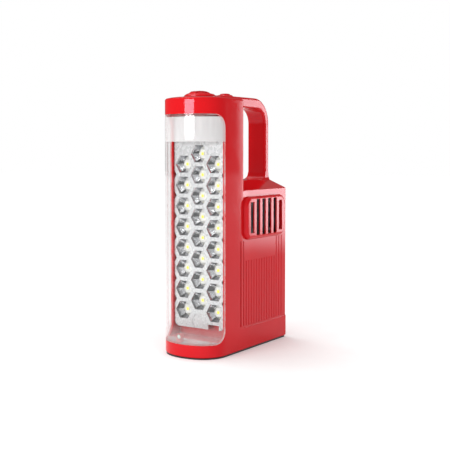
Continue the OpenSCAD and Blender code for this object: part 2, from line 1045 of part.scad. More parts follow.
// Ring of eight points across a route at its point i. No route runs along X.
function wire_ring(route, i, r) =
    let (t = heading(route, i), u = unit(cross(t, [1, 0, 0])), w = cross(t, u))
    [for (k = [0 : 7]) route[i] + r * (cos(45 * k) * u + sin(45 * k) * w)];

// Round wire of radius r along a route.
module wire(route, r) {
    last = len(route) - 1;
    points = [for (i = [0 : last]) each wire_ring(route, i, r)];
    sides = [for (i = [0 : last - 1]) for (k = [0 : 7])
        [8 * i + k, 8 * i + 8 + k, 8 * i + 8 + (k + 1) % 8, 8 * i + (k + 1) % 8]];
    ends = [[for (k = [0 : 7]) k], [for (k = [7 : -1 : 0]) 8 * last + k]];
    polyhedron(points = points, faces = concat(sides, ends));
}

module battery_lead_red() {
    color([0.8, 0.1, 0.1])
        wire([[15, battery_y + 5.4, battery_top + 6], [15, battery_y + 5.4, 117],
            [15, -20, 120], [15, board_back, 120]], 0.9);
}

module battery_lead_black() {
    color([0.05, 0.05, 0.05])
        wire([[-15, battery_y + 5.4, battery_top + 6], [-15, battery_y + 5.4, 117],
            [-15, -20, 120], [-15, board_back, 120]], 0.9);
}

module speaker_leads() {
    color([0.5, 0.5, 0.52])
        for (z = [134, 138])
            wire([[17, siren_y - 17, z], [10, 0, z], [4, -20, z], [4, board_back, z]], 0.6);
}

module led_leads() {
    color([0.85, 0.85, 0.85])
        for (x = [-17, -14])
            wire([[x, tray_y, 170], [x, -31, 170], [x, board_y + 0.8, 166],
                [x, board_y + 0.8, board_z1]], 0.6);
}

module switch_leads() {
    color([0.9, 0.75, 0.1])
        for (x = [6, 9])
            wire([[x, knob_y + 11, 263], [x, board_y + 0.8, 262],
                [x, board_y + 0.8, board_z1]], 0.6);
}

module button_leads() {
    color([0.2, 0.3, 0.8])
        for (x = [-2, 2])
            wire([[x, button_y - 6, floor_z + 0.9], [x, -20, floor_z + 0.9],
                [x, -24, 258], [x, board_y + 0.8, 250], [x, board_y + 0.8, board_z1]], 0.6);
}

module inlet_leads() {
    color([0.45, 0.25, 0.12])
        for (x = [-inlet_lead_x, inlet_lead_x])
            wire([[x, 59, inlet_z - 1.5], [x, 59, 43], [x, 60.5, 47], [x, 60.5, 108],
                [x, 54, 112.6], [x, -20, 112.6], [x, board_back, 112.6]], 0.6);
}

module transformer_leads() {
    color([0.9, 0.45, 0.1])
        for (x = [-24, -20.5, -17, -13.5])
            wire([[x, 20, 131], [x, 8, 131], [x, -20, 133], [x, -26, 133],
                [x, board_back, 133]], 0.6);
}

// ---------- screws ----------

// Pan-head screw along +Z: head below z = 0, shank above it.
module screw(head_r, head_h, shank_r, length) {
    translate([0, 0, -head_h])
        cylinder(r = head_r, h = head_h, $fn = curve);
    cylinder(r = shank_r, h = length, $fn = curve);
}

module cover_screws() {
    color(steel)
        for (p = cover_places())
            translate([p[0], back_y - 2, p[1]])
                rotate([90, 0, 0])
                    screw(3, 1.6, 1.25, abs(p[0]) > 1 ? 11 : 4.5);
}

module base_screws() {
    color(steel)
        at_both_sides(base_points)
            translate([0, 0, 2.1])
                screw(3, 1.6, 1.25, 8);
}

module reflector_screws() {
    color(steel)
        for (p = reflector_points)
            translate([p[0], tray_back, p[1]])
                rotate([90, 0, 0])
                    screw(2.8, 1.6, 1.05, 9);
}

module bracket_screws() {
    color(steel)
        for (s = [-1, 1])
            translate([s * bracket_x, bracket_y, battery_top + 4])
                mirror([0, 0, 1])
                    screw(1.5, 1.4, 1.05, 8);
}

module board_screws() {
    color(steel)
        for (p = board_points)
            for (s = [-1, 1])
                translate([s * p[0], board_back, p[1]])
                    rotate([90, 0, 0])
                        screw(2.6, 1.5, 1.05, 4.5);
}

module baffle_screws() {
    color(steel)
        for (p = baffle_points)
            translate([inner_x - baffle_t, p[0], p[1]])
                rotate([0, 90, 0])
                    screw(2.6, 1.5, 1.05, 3.2);
}

front_housing();
rear_cover();
base_plate();
lens_cover();
reflector();
led_board();
led_chips();
indicator_holder();
indicator_led();
selector_knob();
switch_shaft();
rotary_switch();
switch_nut();
button_bezel();
push_button();
button_spring();
push_switch();
speaker_grille();
speaker_baffle();
speaker_frame();
speaker_cone();
speaker_magnet();
battery();
battery_terminals();
battery_foam();
battery_bracket();
charger_board();
capacitors();
relay();
fuse();
transformer_core();
transformer_coil();
mains_inlet();
inlet_pins();
battery_lead_red();
battery_lead_black();
speaker_leads();
led_leads();
switch_leads();
button_leads();
inlet_leads();
transformer_leads();
cover_screws();
base_screws();
reflector_screws();
bracket_screws();
board_screws();
baffle_screws();
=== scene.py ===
# %% [markdown]
# # A rechargeable LED lantern
# The lantern is a glossy red moulding: a D-shaped light column, a battery box behind it and a
# loop handle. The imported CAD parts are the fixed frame. The pieces that show are modelled again
# here with real fillets, and the pieces that hardly show keep their CAD meshes and get a finish.

import math

import bmesh
import bpy
from mathutils import Matrix, Vector


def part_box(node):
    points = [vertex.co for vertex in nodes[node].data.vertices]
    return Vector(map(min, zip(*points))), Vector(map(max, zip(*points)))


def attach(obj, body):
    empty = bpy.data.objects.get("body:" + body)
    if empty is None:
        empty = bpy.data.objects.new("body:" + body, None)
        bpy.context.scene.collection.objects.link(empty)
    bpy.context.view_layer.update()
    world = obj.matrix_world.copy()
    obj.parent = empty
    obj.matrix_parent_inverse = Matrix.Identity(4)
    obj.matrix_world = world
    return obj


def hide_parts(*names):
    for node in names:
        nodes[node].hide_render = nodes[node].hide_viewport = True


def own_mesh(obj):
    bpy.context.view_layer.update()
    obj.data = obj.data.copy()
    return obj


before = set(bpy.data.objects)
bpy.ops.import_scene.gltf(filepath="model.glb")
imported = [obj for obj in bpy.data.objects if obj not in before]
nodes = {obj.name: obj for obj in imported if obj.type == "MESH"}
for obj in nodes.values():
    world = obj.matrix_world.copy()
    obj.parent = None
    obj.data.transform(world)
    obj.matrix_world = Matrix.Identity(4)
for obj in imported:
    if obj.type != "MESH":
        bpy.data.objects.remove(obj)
bpy.context.view_layer.update()

# %% [markdown]
# ## Sizes
# Every size comes from the CAD nodes' boxes, so a piece can't drift from the frame. A few lengths
# that a box doesn't show, such as radii and the height of the shoulder, are named once, in
# metres.

# %% Driving sizes
MM = 0.001
house_lo, house_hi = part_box("front_housing")
cover_lo, cover_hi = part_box("rear_cover")
lens_lo, lens_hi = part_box("lens_cover")
knob_lo, knob_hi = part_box("selector_knob")
bezel_lo, bezel_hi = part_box("button_bezel")
button_lo, button_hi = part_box("push_button")
grille_lo, grille_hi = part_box("speaker_grille")
half_w = house_hi.x
front_y = house_lo.y
split_y = cover_lo.y
back_y = cover_hi.y
foot_z = house_lo.z
handle_top = house_hi.z
wall = 2.5 * MM
nose_d = 30 * MM
nose_power = 2.15
column_back = front_y + 64.3 * MM
column_h = 270 * MM
shoulder_h = 172.5 * MM
ridge_h = 182 * MM
plinth_h = 25 * MM
side_inset = 0.8 * MM
handle_half = 12 * MM
handle_r = 28 * MM
opening_r = 17 * MM
upright_y = back_y - 8.9 * MM
opening_top = handle_top - 11.6 * MM
knob_axis = Vector((0, (knob_lo.y + knob_hi.y) / 2, 0))
button_axis = Vector((0, (button_lo.y + button_hi.y) / 2, 0))
lens_gap = 0.15 * MM
window_lo = Vector((0, front_y, lens_lo.z - lens_gap))
window_hi = Vector((0, lens_hi.y + lens_gap, lens_hi.z + lens_gap))
window_r = 14.5 * MM
tray_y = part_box("led_board")[1].y
corner_r = 1.6 * MM
column_r = 2.6 * MM
crown_r = 5.6 * MM
roof_r = 3.6 * MM
plinth_foot_r = 2.2 * MM
plinth_top_r = 0.7 * MM
behind_nose = -40 * MM
sink = 8 * MM
FINE = 1e-6
print("body", round(2 * half_w, 4), "wide, handle top", round(handle_top, 4))

# %% [markdown]
# ## Small modelling helpers
# A prism is an outline that is made one face and extruded. Round edges come from bmesh's bevel,
# and solids are joined and cut with the exact Boolean, which is then applied, so each piece ends
# as a plain mesh at the origin.

# %% Helpers for outlines, prisms and Booleans
def extruded(bm, direction):
    """Extrudes a sheet of faces into a closed solid."""
    made = bmesh.ops.extrude_face_region(bm, geom=bm.faces[:])
    moved = [v for v in made["geom"] if isinstance(v, bmesh.types.BMVert)]
    bmesh.ops.translate(bm, verts=moved, vec=direction)
    bmesh.ops.recalc_face_normals(bm, faces=bm.faces[:])
    return bm


def prism(points, direction):
    """A closed prism: one face through the points, extruded along direction."""
    bm = bmesh.new()
    bm.faces.new([bm.verts.new(p) for p in points])
    return extruded(bm, direction)


def round_edges(bm, chosen, radius, segments=5):
    """Bevels the edges for which chosen(edge) is true."""
    edges = [e for e in bm.edges if len(e.link_faces) == 2 and chosen(e)]
    bmesh.ops.bevel(bm, geom=edges, offset=radius, segments=segments, profile=0.5,
                    affect="EDGES", clamp_overlap=True, material=-1)
    bm.normal_update()
    return len(edges)


def along(e, axis, tol=1e-5):
    """True if an edge runs along a world axis, 0, 1 or 2."""
    d = e.verts[1].co - e.verts[0].co
    return all(abs(d[k]) < tol for k in range(3) if k != axis)


def mid(e):
    return (e.verts[0].co + e.verts[1].co) / 2


def loose(bm, name):
    """A plain object from a bmesh, in the scene but not yet a piece."""
    mesh = bpy.data.meshes.new(name)
    bm.to_mesh(mesh)
    bm.free()
    obj = bpy.data.objects.new(name, mesh)
    bpy.context.scene.collection.objects.link(obj)
    return obj


def merged(mesh, gap=FINE):
    """A bmesh of a mesh, with the points that coincide made one."""
    bm = bmesh.new()
    bm.from_mesh(mesh)
    bmesh.ops.remove_doubles(bm, verts=bm.verts[:], dist=gap)
    return bm


def write_back(bm, obj):
    bm.to_mesh(obj.data)
    bm.free()


def raised(bm, face):
    """Extrudes one face in place and gives the new face."""
    made = bmesh.ops.extrude_face_region(bm, geom=[face])
    bm.faces.remove(face)
    return next(g for g in made["geom"] if isinstance(g, bmesh.types.BMFace))


def close_cut(bm, y, **cleared):
    """Cuts at a plane across Y, drops one side and closes the rest."""
    cut = bmesh.ops.bisect_plane(bm, geom=bm.verts[:] + bm.edges[:] + bm.faces[:],
                                 plane_co=(0, y, 0), plane_no=(0, 1, 0), **cleared)
    rim = [g for g in cut["geom_cut"] if isinstance(g, bmesh.types.BMEdge)]
    bmesh.ops.contextual_create(bm, geom=rim)


def apply_modifiers(obj):
    """Bakes the object's modifiers into its mesh."""
    graph = bpy.context.evaluated_depsgraph_get()
    mesh = bpy.data.meshes.new_from_object(obj.evaluated_get(graph))
    obj.modifiers.clear()
    obj.data = mesh


def combine(target, tools, operation):
    """Joins tools to the target, or cuts them out of it, and removes them."""
    for tool in tools:
        mod = target.modifiers.new("combine", "BOOLEAN")
        mod.operation = operation
        mod.solver = "EXACT"
        mod.object = tool
        apply_modifiers(target)
        bpy.data.objects.remove(tool)
    return target


def soft_edges(obj, width, segments, angle):
    """A Bevel modifier on the edges sharper than an angle in degrees."""
    mod = obj.modifiers.new("soft edges", "BEVEL")
    mod.width = width
    mod.segments = segments
    mod.limit_method = "ANGLE"
    mod.angle_limit = math.radians(angle)


def cylinder(radius, start, end, segments=64):
    """A closed cylinder from start to end."""
    axis = end - start
    bm = bmesh.new()
    bmesh.ops.create_cone(bm, cap_ends=True, segments=segments, radius1=radius, radius2=radius,
                          depth=axis.length)
    turn = axis.to_track_quat("Z", "Y").to_matrix().to_4x4()
    bmesh.ops.transform(bm, matrix=Matrix.Translation((start + end) / 2) @ turn, verts=bm.verts[:])
    return bm


def block(lo, hi):
    """A closed box between two corners."""
    bm = bmesh.new()
    bmesh.ops.create_cube(bm, size=1)
    bmesh.ops.scale(bm, vec=hi - lo, verts=bm.verts[:])
    bmesh.ops.translate(bm, vec=(lo + hi) / 2, verts=bm.verts[:])
    return bm


def spun(profile, centre, segments=96):
    """A closed solid of revolution about a vertical axis; the profile is (radius, z) pairs."""
    bm = bmesh.new()
    ring = [bm.verts.new((r, 0, z)) for r, z in profile]
    edges = [bm.edges.new(pair) for pair in zip(ring, ring[1:])]
    bmesh.ops.spin(bm, geom=ring + edges, cent=(0, 0, 0), axis=(0, 0, 1), dvec=(0, 0, 0),
                   angle=math.tau, steps=segments, use_merge=True)
    bmesh.ops.remove_doubles(bm, verts=bm.verts[:], dist=FINE)
    bmesh.ops.translate(bm, vec=centre, verts=bm.verts[:])
    bmesh.ops.recalc_face_normals(bm, faces=bm.faces[:])
    return bm


# %% [markdown]
# ## Finishing a piece
# Each piece is shaded smooth, with its hard edges kept sharp, and its normals are weighted by
# face area, so the large flat sides stay flat right up to their fillets.

# %% Finish helper
def finish_piece(obj, material, replaced, body="housing", angle=32, weighted=True):
    """Shades a piece, gives it a finish and a body, and hides the node it replaces."""
    picks = [face.material_index for face in obj.data.polygons]
    obj.data.materials.clear()
    for m in (material if isinstance(material, list) else [material]):
        obj.data.materials.append(m)
    obj.data.polygons.foreach_set("material_index", picks)
    obj.data.shade_smooth()
    obj.data.set_sharp_from_angle(angle=math.radians(angle))
    if weighted:
        mod = obj.modifiers.new("weighted normals", "WEIGHTED_NORMAL")
        mod.keep_sharp = True
        mod.weight = 60
    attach(obj, body)
    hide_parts(replaced)
    print(obj.name, len(obj.data.polygons), "faces")
    return obj


# %% [markdown]
# ## Finishes
# All finishes are node materials on object coordinates. The moulded plastics share one recipe: an
# even colour with a faint flow variation, a fine orange-peel bump and a roughness that changes a
# little, because a real moulding is never perfectly even.

# %% Material recipes
def put(node, values):
    """Sets a node's inputs by name."""
    for name, value in values.items():
        node.inputs[name].default_value = value


def add_node(tree, kind, values=None):
    node = tree.nodes.new("ShaderNode" + kind)
    put(node, values or {})
    return node


def feed(node, name, value):
    """Links a value to one of a node's inputs."""
    node.id_data.links.new(value, node.inputs[name])


def new_material(name, values=None):
    """A node material with some of its shader's inputs set."""
    mat = bpy.data.materials.new(name)
    mat.use_nodes = True
    tree = mat.node_tree
    shader = next(n for n in tree.nodes if n.type == "BSDF_PRINCIPLED")
    put(shader, values or {})
    coords = add_node(tree, "TexCoord")
    return mat, tree, shader, coords.outputs["Object"]


def noise(tree, coords, scale, detail=3, stretch=None):
    node = add_node(tree, "TexNoise", {"Scale": scale, "Detail": detail})
    if stretch:
        mapping = add_node(tree, "Mapping", {"Scale": stretch})
        feed(mapping, "Vector", coords)
        coords = mapping.outputs["Vector"]
    feed(node, "Vector", coords)
    return node.outputs["Fac"]


def ramp(tree, fac, low, high, stops=(0.3, 0.7)):
    """Maps a factor to a value between low and high, or to a colour between two colours."""
    if isinstance(low, tuple):
        node = add_node(tree, "ValToRGB")
        for element, stop, colour in zip(node.color_ramp.elements, stops, (low, high)):
            element.position = stop
            element.color = (*colour, 1)
        feed(node, "Fac", fac)
        return node.outputs["Color"]
    node = add_node(tree, "MapRange", {"From Min": stops[0], "From Max": stops[1],
                                       "To Min": low, "To Max": high})
    feed(node, "Value", fac)
    return node.outputs["Result"]


def joined(tree, operation, a, b):
    """A Math node on sockets or numbers."""
    node = add_node(tree, "Math")
    node.operation = operation
    for value, socket in zip((a, b), node.inputs):
        if isinstance(value, (int, float)):
            socket.default_value = value
        else:
            tree.links.new(value, socket)
    return node.outputs["Value"]


def add_bump(tree, shader, height, distance):
    bump = add_node(tree, "Bump", {"Distance": distance, "Strength": 1})
    feed(bump, "Height", height)
    feed(shader, "Normal", bump.outputs["Normal"])


def moulded(name, colour, rough=(0.16, 0.24), vary=0.06, peel=0.00002, scale=260, tint=None):
    """Moulded plastic: colour variation, roughness variation and orange peel."""
    mat, tree, shader, coords = new_material(name)
    darker = tuple(c * (1 - vary) for c in colour)
    lighter = tuple(min(1, c * (1 + vary)) for c in colour)
    feed(shader, "Base Color", ramp(tree, noise(tree, coords, 18), darker, lighter))
    feed(shader, "Roughness", ramp(tree, noise(tree, coords, 55, 5), *rough))
    add_bump(tree, shader, noise(tree, coords, scale, 2), peel)
    if tint:
        put(shader, {"Specular Tint": (*tint, 1), "Specular IOR Level": 0.22})
    return mat


def metal(name, colour, rough=(0.22, 0.38), grain=(400, 400, 30)):
    """Metal with a fine grain along Z."""
    mat, tree, shader, coords = new_material(name, {"Metallic": 1})
    streaks = noise(tree, coords, 3, 4, grain)
    feed(shader, "Base Color", ramp(tree, streaks, tuple(c * 0.88 for c in colour), colour))
    feed(shader, "Roughness", ramp(tree, streaks, *rough))
    add_bump(tree, shader, streaks, 0.00001)
    return mat


# %% The finishes
PINKISH = (1, 0.80, 0.98)
RED = (0.58, 0.008, 0.011)
red = moulded("red_abs", RED, rough=(0.055, 0.09), vary=0.04, peel=0.000008, tint=PINKISH)
dark_red = moulded("button_red_abs", (0.50, 0.006, 0.011), rough=(0.12, 0.18), vary=0.04,
                   tint=PINKISH)
black = moulded("black_abs", (0.012, 0.012, 0.013), rough=(0.42, 0.58), vary=0.2, peel=0.00006,
                scale=700)
steel = metal("zinc_steel", (0.72, 0.73, 0.75))
print("first finishes ready")

# %% [markdown]
# ## Outlines of the body
# The nose is a superellipse, a little fuller than an ellipse, so the lens has broad shoulders and
# no flat spot. The sides run straight back from it and step in slightly along the battery box.

# %% Outline functions
NOSE_STEPS = 72
nose_y = front_y + nose_d


def nose(t=0.0):
    """Nose points (x, y), shrunk by t, from +X round the front to -X."""
    points = []
    for i in range(NOSE_STEPS + 1):
        a = math.pi * i / NOSE_STEPS
        c = math.cos(a)
        x = (half_w - t) * math.copysign(abs(c) ** (2 / nose_power), c)
        points.append((x, nose_y - (nose_d - t) * math.sin(a) ** (2 / nose_power)))
    return points


def plan(sides, z, t=0.0):
    """Nose plus the -X side's points and their mirror image, at height z."""
    back = [(-x, y) for x, y in sides]
    return [Vector((x, y, z)) for x, y in nose(t) + back + [(x, y) for x, y in reversed(sides)]]


def rear_corner(e):
    return along(e, 2) and mid(e).y > column_back - 1 * MM


def back_corner(e):
    return along(e, 2) and mid(e).y > back_y - 1 * MM


def faces_up(e, up=0.3):
    """True for an edge between an upward face and a wall."""
    a, b = (f.normal.z for f in e.link_faces)
    return max(a, b) > up and min(abs(a), abs(b)) < 0.02


def faces_down(e):
    a, b = (f.normal.z for f in e.link_faces)
    return min(a, b) < -0.99 and max(a, b) > -0.02


# %% [markdown]
# ## The red body
# The column, the box, the plinth and the handle are separate rounded solids first. Each gets its
# fillets while it is simple, and then they are joined. The whole body is made once, and then cut
# at the parting plane into the front housing and the rear cover, so the two always meet.

# %% Column, box and plinth
SHRINK = 0.03 * MM


def column_solid():
    bm = prism(plan([(half_w - SHRINK, column_back)], sink, SHRINK),
               Vector((0, 0, column_h - sink)))
    round_edges(bm, rear_corner, column_r, 5)
    round_edges(bm, faces_up, crown_r, 7)
    top = max(bm.faces, key=lambda f: f.calc_center_median().z)
    centre = top.calc_center_median()
    for share, rise in ((0.9, 0.5 * MM), (0.86, 0.35 * MM), (0.8, 0.15 * MM)):
        top = raised(bm, top)
        bmesh.ops.scale(bm, vec=(share, share, 1), verts=top.verts[:],
                        space=Matrix.Translation(-centre))
        bmesh.ops.translate(bm, verts=top.verts[:], vec=(0, 0, rise))
    return loose(bm, "column")


def roof_points(y):
    """Section of the box and its roof across X, at y."""
    half = half_w + 6 * MM
    low_z = -2 * MM
    slope = (ridge_h - shoulder_h) / (half_w - side_inset - handle_half)
    eave = shoulder_h - slope * (half - half_w + side_inset)
    right = [(half, low_z), (half, eave), (handle_half, ridge_h)]
    return [Vector((x, y, z)) for x, z in right] + [Vector((-x, y, z)) for x, z in reversed(right)]


def box_solid():
    side = half_w - side_inset
    sides = [(half_w - SHRINK, -26 * MM), (side, 0), (side, back_y)]
    bm = prism(plan(sides, sink, SHRINK), Vector((0, 0, ridge_h)))
    round_edges(bm, back_corner, corner_r, 4)
    box = loose(bm, "box")
    roof = prism(roof_points(front_y - 5 * MM), Vector((0, back_y - front_y + 10 * MM, 0)))
    combine(box, [loose(roof, "roof")], "INTERSECT")
    bm = merged(box.data)
    round_edges(bm, lambda e: faces_up(e) and mid(e).y > behind_nose, roof_r, 6)
    write_back(bm, box)
    return box


def plinth_solid():
    bm = prism(plan([(half_w, back_y)], foot_z), Vector((0, 0, plinth_h - foot_z)))
    round_edges(bm, back_corner, corner_r, 4)
    round_edges(bm, faces_down, plinth_foot_r, 4)
    round_edges(bm, lambda e: faces_up(e) and mid(e).y > behind_nose, plinth_top_r, 2)
    return loose(bm, "plinth")


# %% [markdown]
# ## The loop handle
# The handle is a band between an outer and an inner line, both straight, round at the corner and
# straight again. Quads between the two lines are extruded to the handle's width, and the four
# long edges get a soft radius for the hand.

# %% Handle
def arc(cy, cz, r, a0, a1, steps=12):
    """Points on an arc in the YZ plane, from a0 to a1 degrees."""
    turns = [math.radians(a0 + (a1 - a0) * i / steps) for i in range(steps + 1)]
    return [(cy + r * math.cos(a), cz + r * math.sin(a)) for a in turns]


def handle_solid():
    start_y = -27 * MM
    foot = ridge_h - 12 * MM
    cy, cz = back_y - handle_r, handle_top - handle_r
    iy, iz = upright_y - opening_r, opening_top - opening_r
    outer = [(start_y, column_h - 1 * MM), (start_y + 9 * MM, handle_top)]
    outer += arc(cy, cz, handle_r, 90, 0) + [(back_y, foot)]
    inner = [(start_y, column_h - 8 * MM), (start_y + 9 * MM, opening_top)]
    inner += arc(iy, iz, opening_r, 90, 0) + [(upright_y, foot)]
    bm = bmesh.new()
    rows = [[bm.verts.new((-handle_half, y, z)) for y, z in line] for line in (outer, inner)]
    for i in range(len(outer) - 1):
        bm.faces.new((rows[0][i], rows[0][i + 1], rows[1][i + 1], rows[1][i]))
    extruded(bm, Vector((2 * handle_half, 0, 0)))

    def long_edge(e):
        a, b = (abs(f.normal.x) for f in e.link_faces)
        return max(a, b) > 0.9 and min(a, b) < 0.1 and not along(e, 0)
    round_edges(bm, long_edge, column_r, 5)
    return loose(bm, "handle")


# %% [markdown]
# The upright spreads into the roof in a concave curve. It is built from rings whose half width
# and depth grow towards the roof, by the height of a quarter circle.

# %% Flare at the handle's foot
def hollow_curve(height, radius):
    """How far a concave fillet stands out at a height above its foot."""
    rest = max(0.0, min(radius, radius - height))
    return radius - math.sqrt(radius ** 2 - rest ** 2)


def foot_flare():
    """The upright's foot, spreading over the roof in a concave curve."""
    depth = back_y - upright_y
    levels = [ridge_h + dz * MM for dz in (-6, -4.4, -3, -2, -1, 0, 0.8, 1.8, 3, 4.5, 6.2, 8)]

    def size(z):
        return (handle_half + hollow_curve(z - ridge_h + 5 * MM, 11 * MM),
                depth + hollow_curve(z - ridge_h, 8 * MM))

    half, deep = size(levels[0])
    bm = block(Vector((-half, back_y - deep, ridge_h - 14 * MM)), Vector((half, back_y, levels[0])))
    round_edges(bm, lambda e: along(e, 2), column_r, 5)
    top = max(bm.faces, key=lambda f: f.calc_center_median().z)
    for z in levels[1:]:
        new_half, new_deep = size(z)
        top = raised(bm, top)
        bmesh.ops.scale(bm, vec=(new_half / half, new_deep / deep, 1), verts=top.verts[:],
                        space=Matrix.Translation((0, -back_y, 0)))
        bmesh.ops.translate(bm, verts=top.verts[:], vec=(0, 0, z - top.verts[0].co.z))
        half, deep = new_half, new_deep
    return loose(bm, "flare")


# %% [markdown]
# The separate solids are joined one after another, and the result is one closed body.

# %% Join the body
body = combine(column_solid(), [box_solid(), plinth_solid(), handle_solid(), foot_flare()],
               "UNION")
print("body joined:", len(body.data.polygons), "faces")

# %% [markdown]
# ## Front housing and rear cover
# The body is copied and bisected at the parting plane, and each half is closed again. A tiny
# bevel on the cut leaves the fine line that shows where two mouldings meet. Then the front half
# gets its lens window, the tray behind the lens, the hollow for the battery, the siren's opening,
# the grooves and the bores for the knob and the button.

# %% Cut at the parting plane
SEAM = 0.25 * MM


def half_of(source, keep_rear, name):
    bm = bmesh.new()
    bm.from_mesh(source.data)
    close_cut(bm, split_y, clear_inner=keep_rear, clear_outer=not keep_rear)
    bmesh.ops.recalc_face_normals(bm, faces=bm.faces[:])
    bm.normal_update()

    def on_cut(e):
        return sum(abs(f.normal.y) > 0.999 and abs(f.calc_center_median().y - split_y) < 1e-5
                   for f in e.link_faces) == 1
    count = round_edges(bm, on_cut, SEAM, 1)
    print(name, "seam edges", count)
    return loose(bm, name)


front = half_of(body, False, "housing_shell")
rear = half_of(body, True, "rear_shell")
bpy.data.objects.remove(body)


# %% Cutters for the front housing
def window_cutter():
    """The lens window: everything in front of the lens' back edge, with two round corners."""
    lo, hi = window_lo, window_hi
    outline = [Vector((-60 * MM, y, z)) for y, z in (
        (lo.y - 9 * MM, lo.z), (hi.y, lo.z), (hi.y, hi.z), (lo.y - 9 * MM, hi.z))]
    bm = prism(outline, Vector((120 * MM, 0, 0)))
    round_edges(bm, lambda e: along(e, 0) and mid(e).y > hi.y - 1 * MM, window_r, 14)
    return loose(bm, "window")


def column_hollow(z0, z1, t, y_min=None, y_max=None):
    """The column's plan shrunk by t, kept behind y_min or in front of y_max."""
    bm = prism(plan([(half_w - t, column_back - t)], z0, t), Vector((0, 0, z1 - z0)))
    if y_min is not None:
        close_cut(bm, y_min, clear_inner=True)
    if y_max is not None:
        close_cut(bm, y_max, clear_outer=True)
    bmesh.ops.recalc_face_normals(bm, faces=bm.faces[:])
    return loose(bm, "hollow")


def box_hollow(y1):
    """The battery's room, with a roof that follows the outside."""
    half = half_w - wall
    points = [(half, -5 * MM), (half, shoulder_h - wall - 0.4 * MM),
              (handle_half, ridge_h - wall - 0.4 * MM)]
    section = points + [(-x, z) for x, z in reversed(points)]
    y0 = column_back - 12 * MM
    return loose(prism([Vector((x, y0, z)) for x, z in section], Vector((0, y1 - y0, 0))), "room")


def groove_cutters():
    """Round-bottomed vertical grooves on both sides, taller ones at each end of the row."""
    wide, depth_x = 0.95 * MM, half_w - side_inset + 0.25 * MM
    low, tall_top, short_top = plinth_h + 2 * MM, 119 * MM, 97 * MM
    grooves = [(y, tall_top) for y in (-18.9, -13.1, 55.3, 60.9, 66.4)]
    grooves += [(-7.7 + 5.3 * i, short_top) for i in range(12)]
    bm = bmesh.new()
    for y, top in grooves:
        for side in (-1, 1):
            made = bmesh.ops.create_cone(bm, cap_ends=True, segments=14, radius1=wide,
                                         radius2=wide, depth=top - low)
            bmesh.ops.translate(bm, verts=made["verts"],
                                vec=(side * depth_x, y * MM, (top + low) / 2))
    return loose(bm, "grooves")


def hole(axis, radius, z0, z1):
    return loose(cylinder(radius, axis + Vector((0, 0, z0)), axis + Vector((0, 0, z1))), "hole")


# %% Carve the front housing
chamber_z = window_hi.z + wall
tray_t = 3.3 * MM
combine(front, [window_cutter()], "DIFFERENCE")
combine(front, [column_hollow(window_lo.z + 1.5 * MM, window_hi.z - 1.5 * MM, tray_t,
                              y_max=tray_y)], "DIFFERENCE")
room = combine(column_hollow(-5 * MM, column_h - wall, wall, y_min=tray_y + wall),
               [box_hollow(back_y)], "UNION")
combine(front, [room, column_hollow(chamber_z, column_h - wall, wall, y_max=tray_y + wall + MM),
                column_hollow(-5 * MM, window_lo.z - wall, wall, y_max=tray_y + wall + MM)],
        "DIFFERENCE")
siren_lo = Vector((half_w - 8 * MM, grille_lo.y + 6.2 * MM, grille_lo.z + 2 * MM))
siren_hi = Vector((half_w + 8 * MM, grille_hi.y - 6.2 * MM, grille_hi.z - 1 * MM))
combine(front, [loose(block(siren_lo, siren_hi), "siren opening"), groove_cutters(),
                hole(knob_axis, 4.6 * MM, column_h - 9 * MM, handle_top + 9 * MM),
                hole(button_axis, 7 * MM, opening_top + wall, handle_top + 9 * MM)],
        "DIFFERENCE")
print("front housing:", len(front.data.polygons), "faces")

# %% Carve the rear cover
combine(rear, [box_hollow(back_y - wall)], "DIFFERENCE")
finish_piece(front, red, "front_housing")

# %% [markdown]
# ## Screws
# The cover and the base are held by small pan-head screws in counterbores. One screw is modelled
# with a domed head and a cross recess, and copied to each place. The counterbores are cut into
# the cover at the same places, so a screw can't miss its hole.

# %% Screw places and counterbores
cover_places = [(x * MM, z * MM) for x, z in
                ((30, 15), (-30, 15), (30, 105), (-30, 105), (20, 173), (-20, 173), (0, 200),
                 (0, 245))]
base_places = [(x * MM, y * MM) for x, y in ((18, -58), (-18, -58), (30, 40), (-30, 40))]
HEAD_R = 3 * MM
HEAD_H = 1.6 * MM


def screw_bm(length):
    """Screw along +Z with its head's top at z = 0 and its tip at z = -length."""
    profile = [(0, 0), (0.35 * HEAD_R, -0.03 * HEAD_H), (0.7 * HEAD_R, -0.2 * HEAD_H),
               (0.93 * HEAD_R, -0.5 * HEAD_H), (HEAD_R, -0.8 * HEAD_H), (HEAD_R, -HEAD_H),
               (0.42 * HEAD_R, -HEAD_H), (0.42 * HEAD_R, -length + 0.8 * MM), (0, -length)]
    return spun(profile, (0, 0, 0), 40)


def repeated(one, name, placings):
    """One mesh that holds a copy of an object at each placing; the object is removed."""
    bm = bmesh.new()
    for placing in placings:
        at = len(bm.verts)
        bm.from_mesh(one.data)
        bm.verts.ensure_lookup_table()
        bmesh.ops.transform(bm, matrix=placing, verts=bm.verts[at:])
    bpy.data.objects.remove(one)
    return loose(bm, name)


def screws(name, places, turn, length):
    """Screws turned to face outwards, each with its cross at a different angle."""
    one = loose(screw_bm(length), "screw")
    cross = [loose(block(Vector((-a, -b, -1.1 * MM)), Vector((a, b, 1 * MM))), "cross")
             for a, b in ((1.7 * MM, 0.35 * MM), (0.35 * MM, 1.7 * MM))]
    combine(one, cross, "DIFFERENCE")
    return repeated(one, name, [
        Matrix.Translation(place) @ turn @ Matrix.Rotation(math.radians(25 + 37 * i), 4, "Z")
        for i, place in enumerate(places)])


bores = [loose(cylinder(3.3 * MM, Vector((x, back_y - 2 * MM, z)), Vector((x, back_y + MM, z)), 40),
               "bore") for x, z in cover_places]


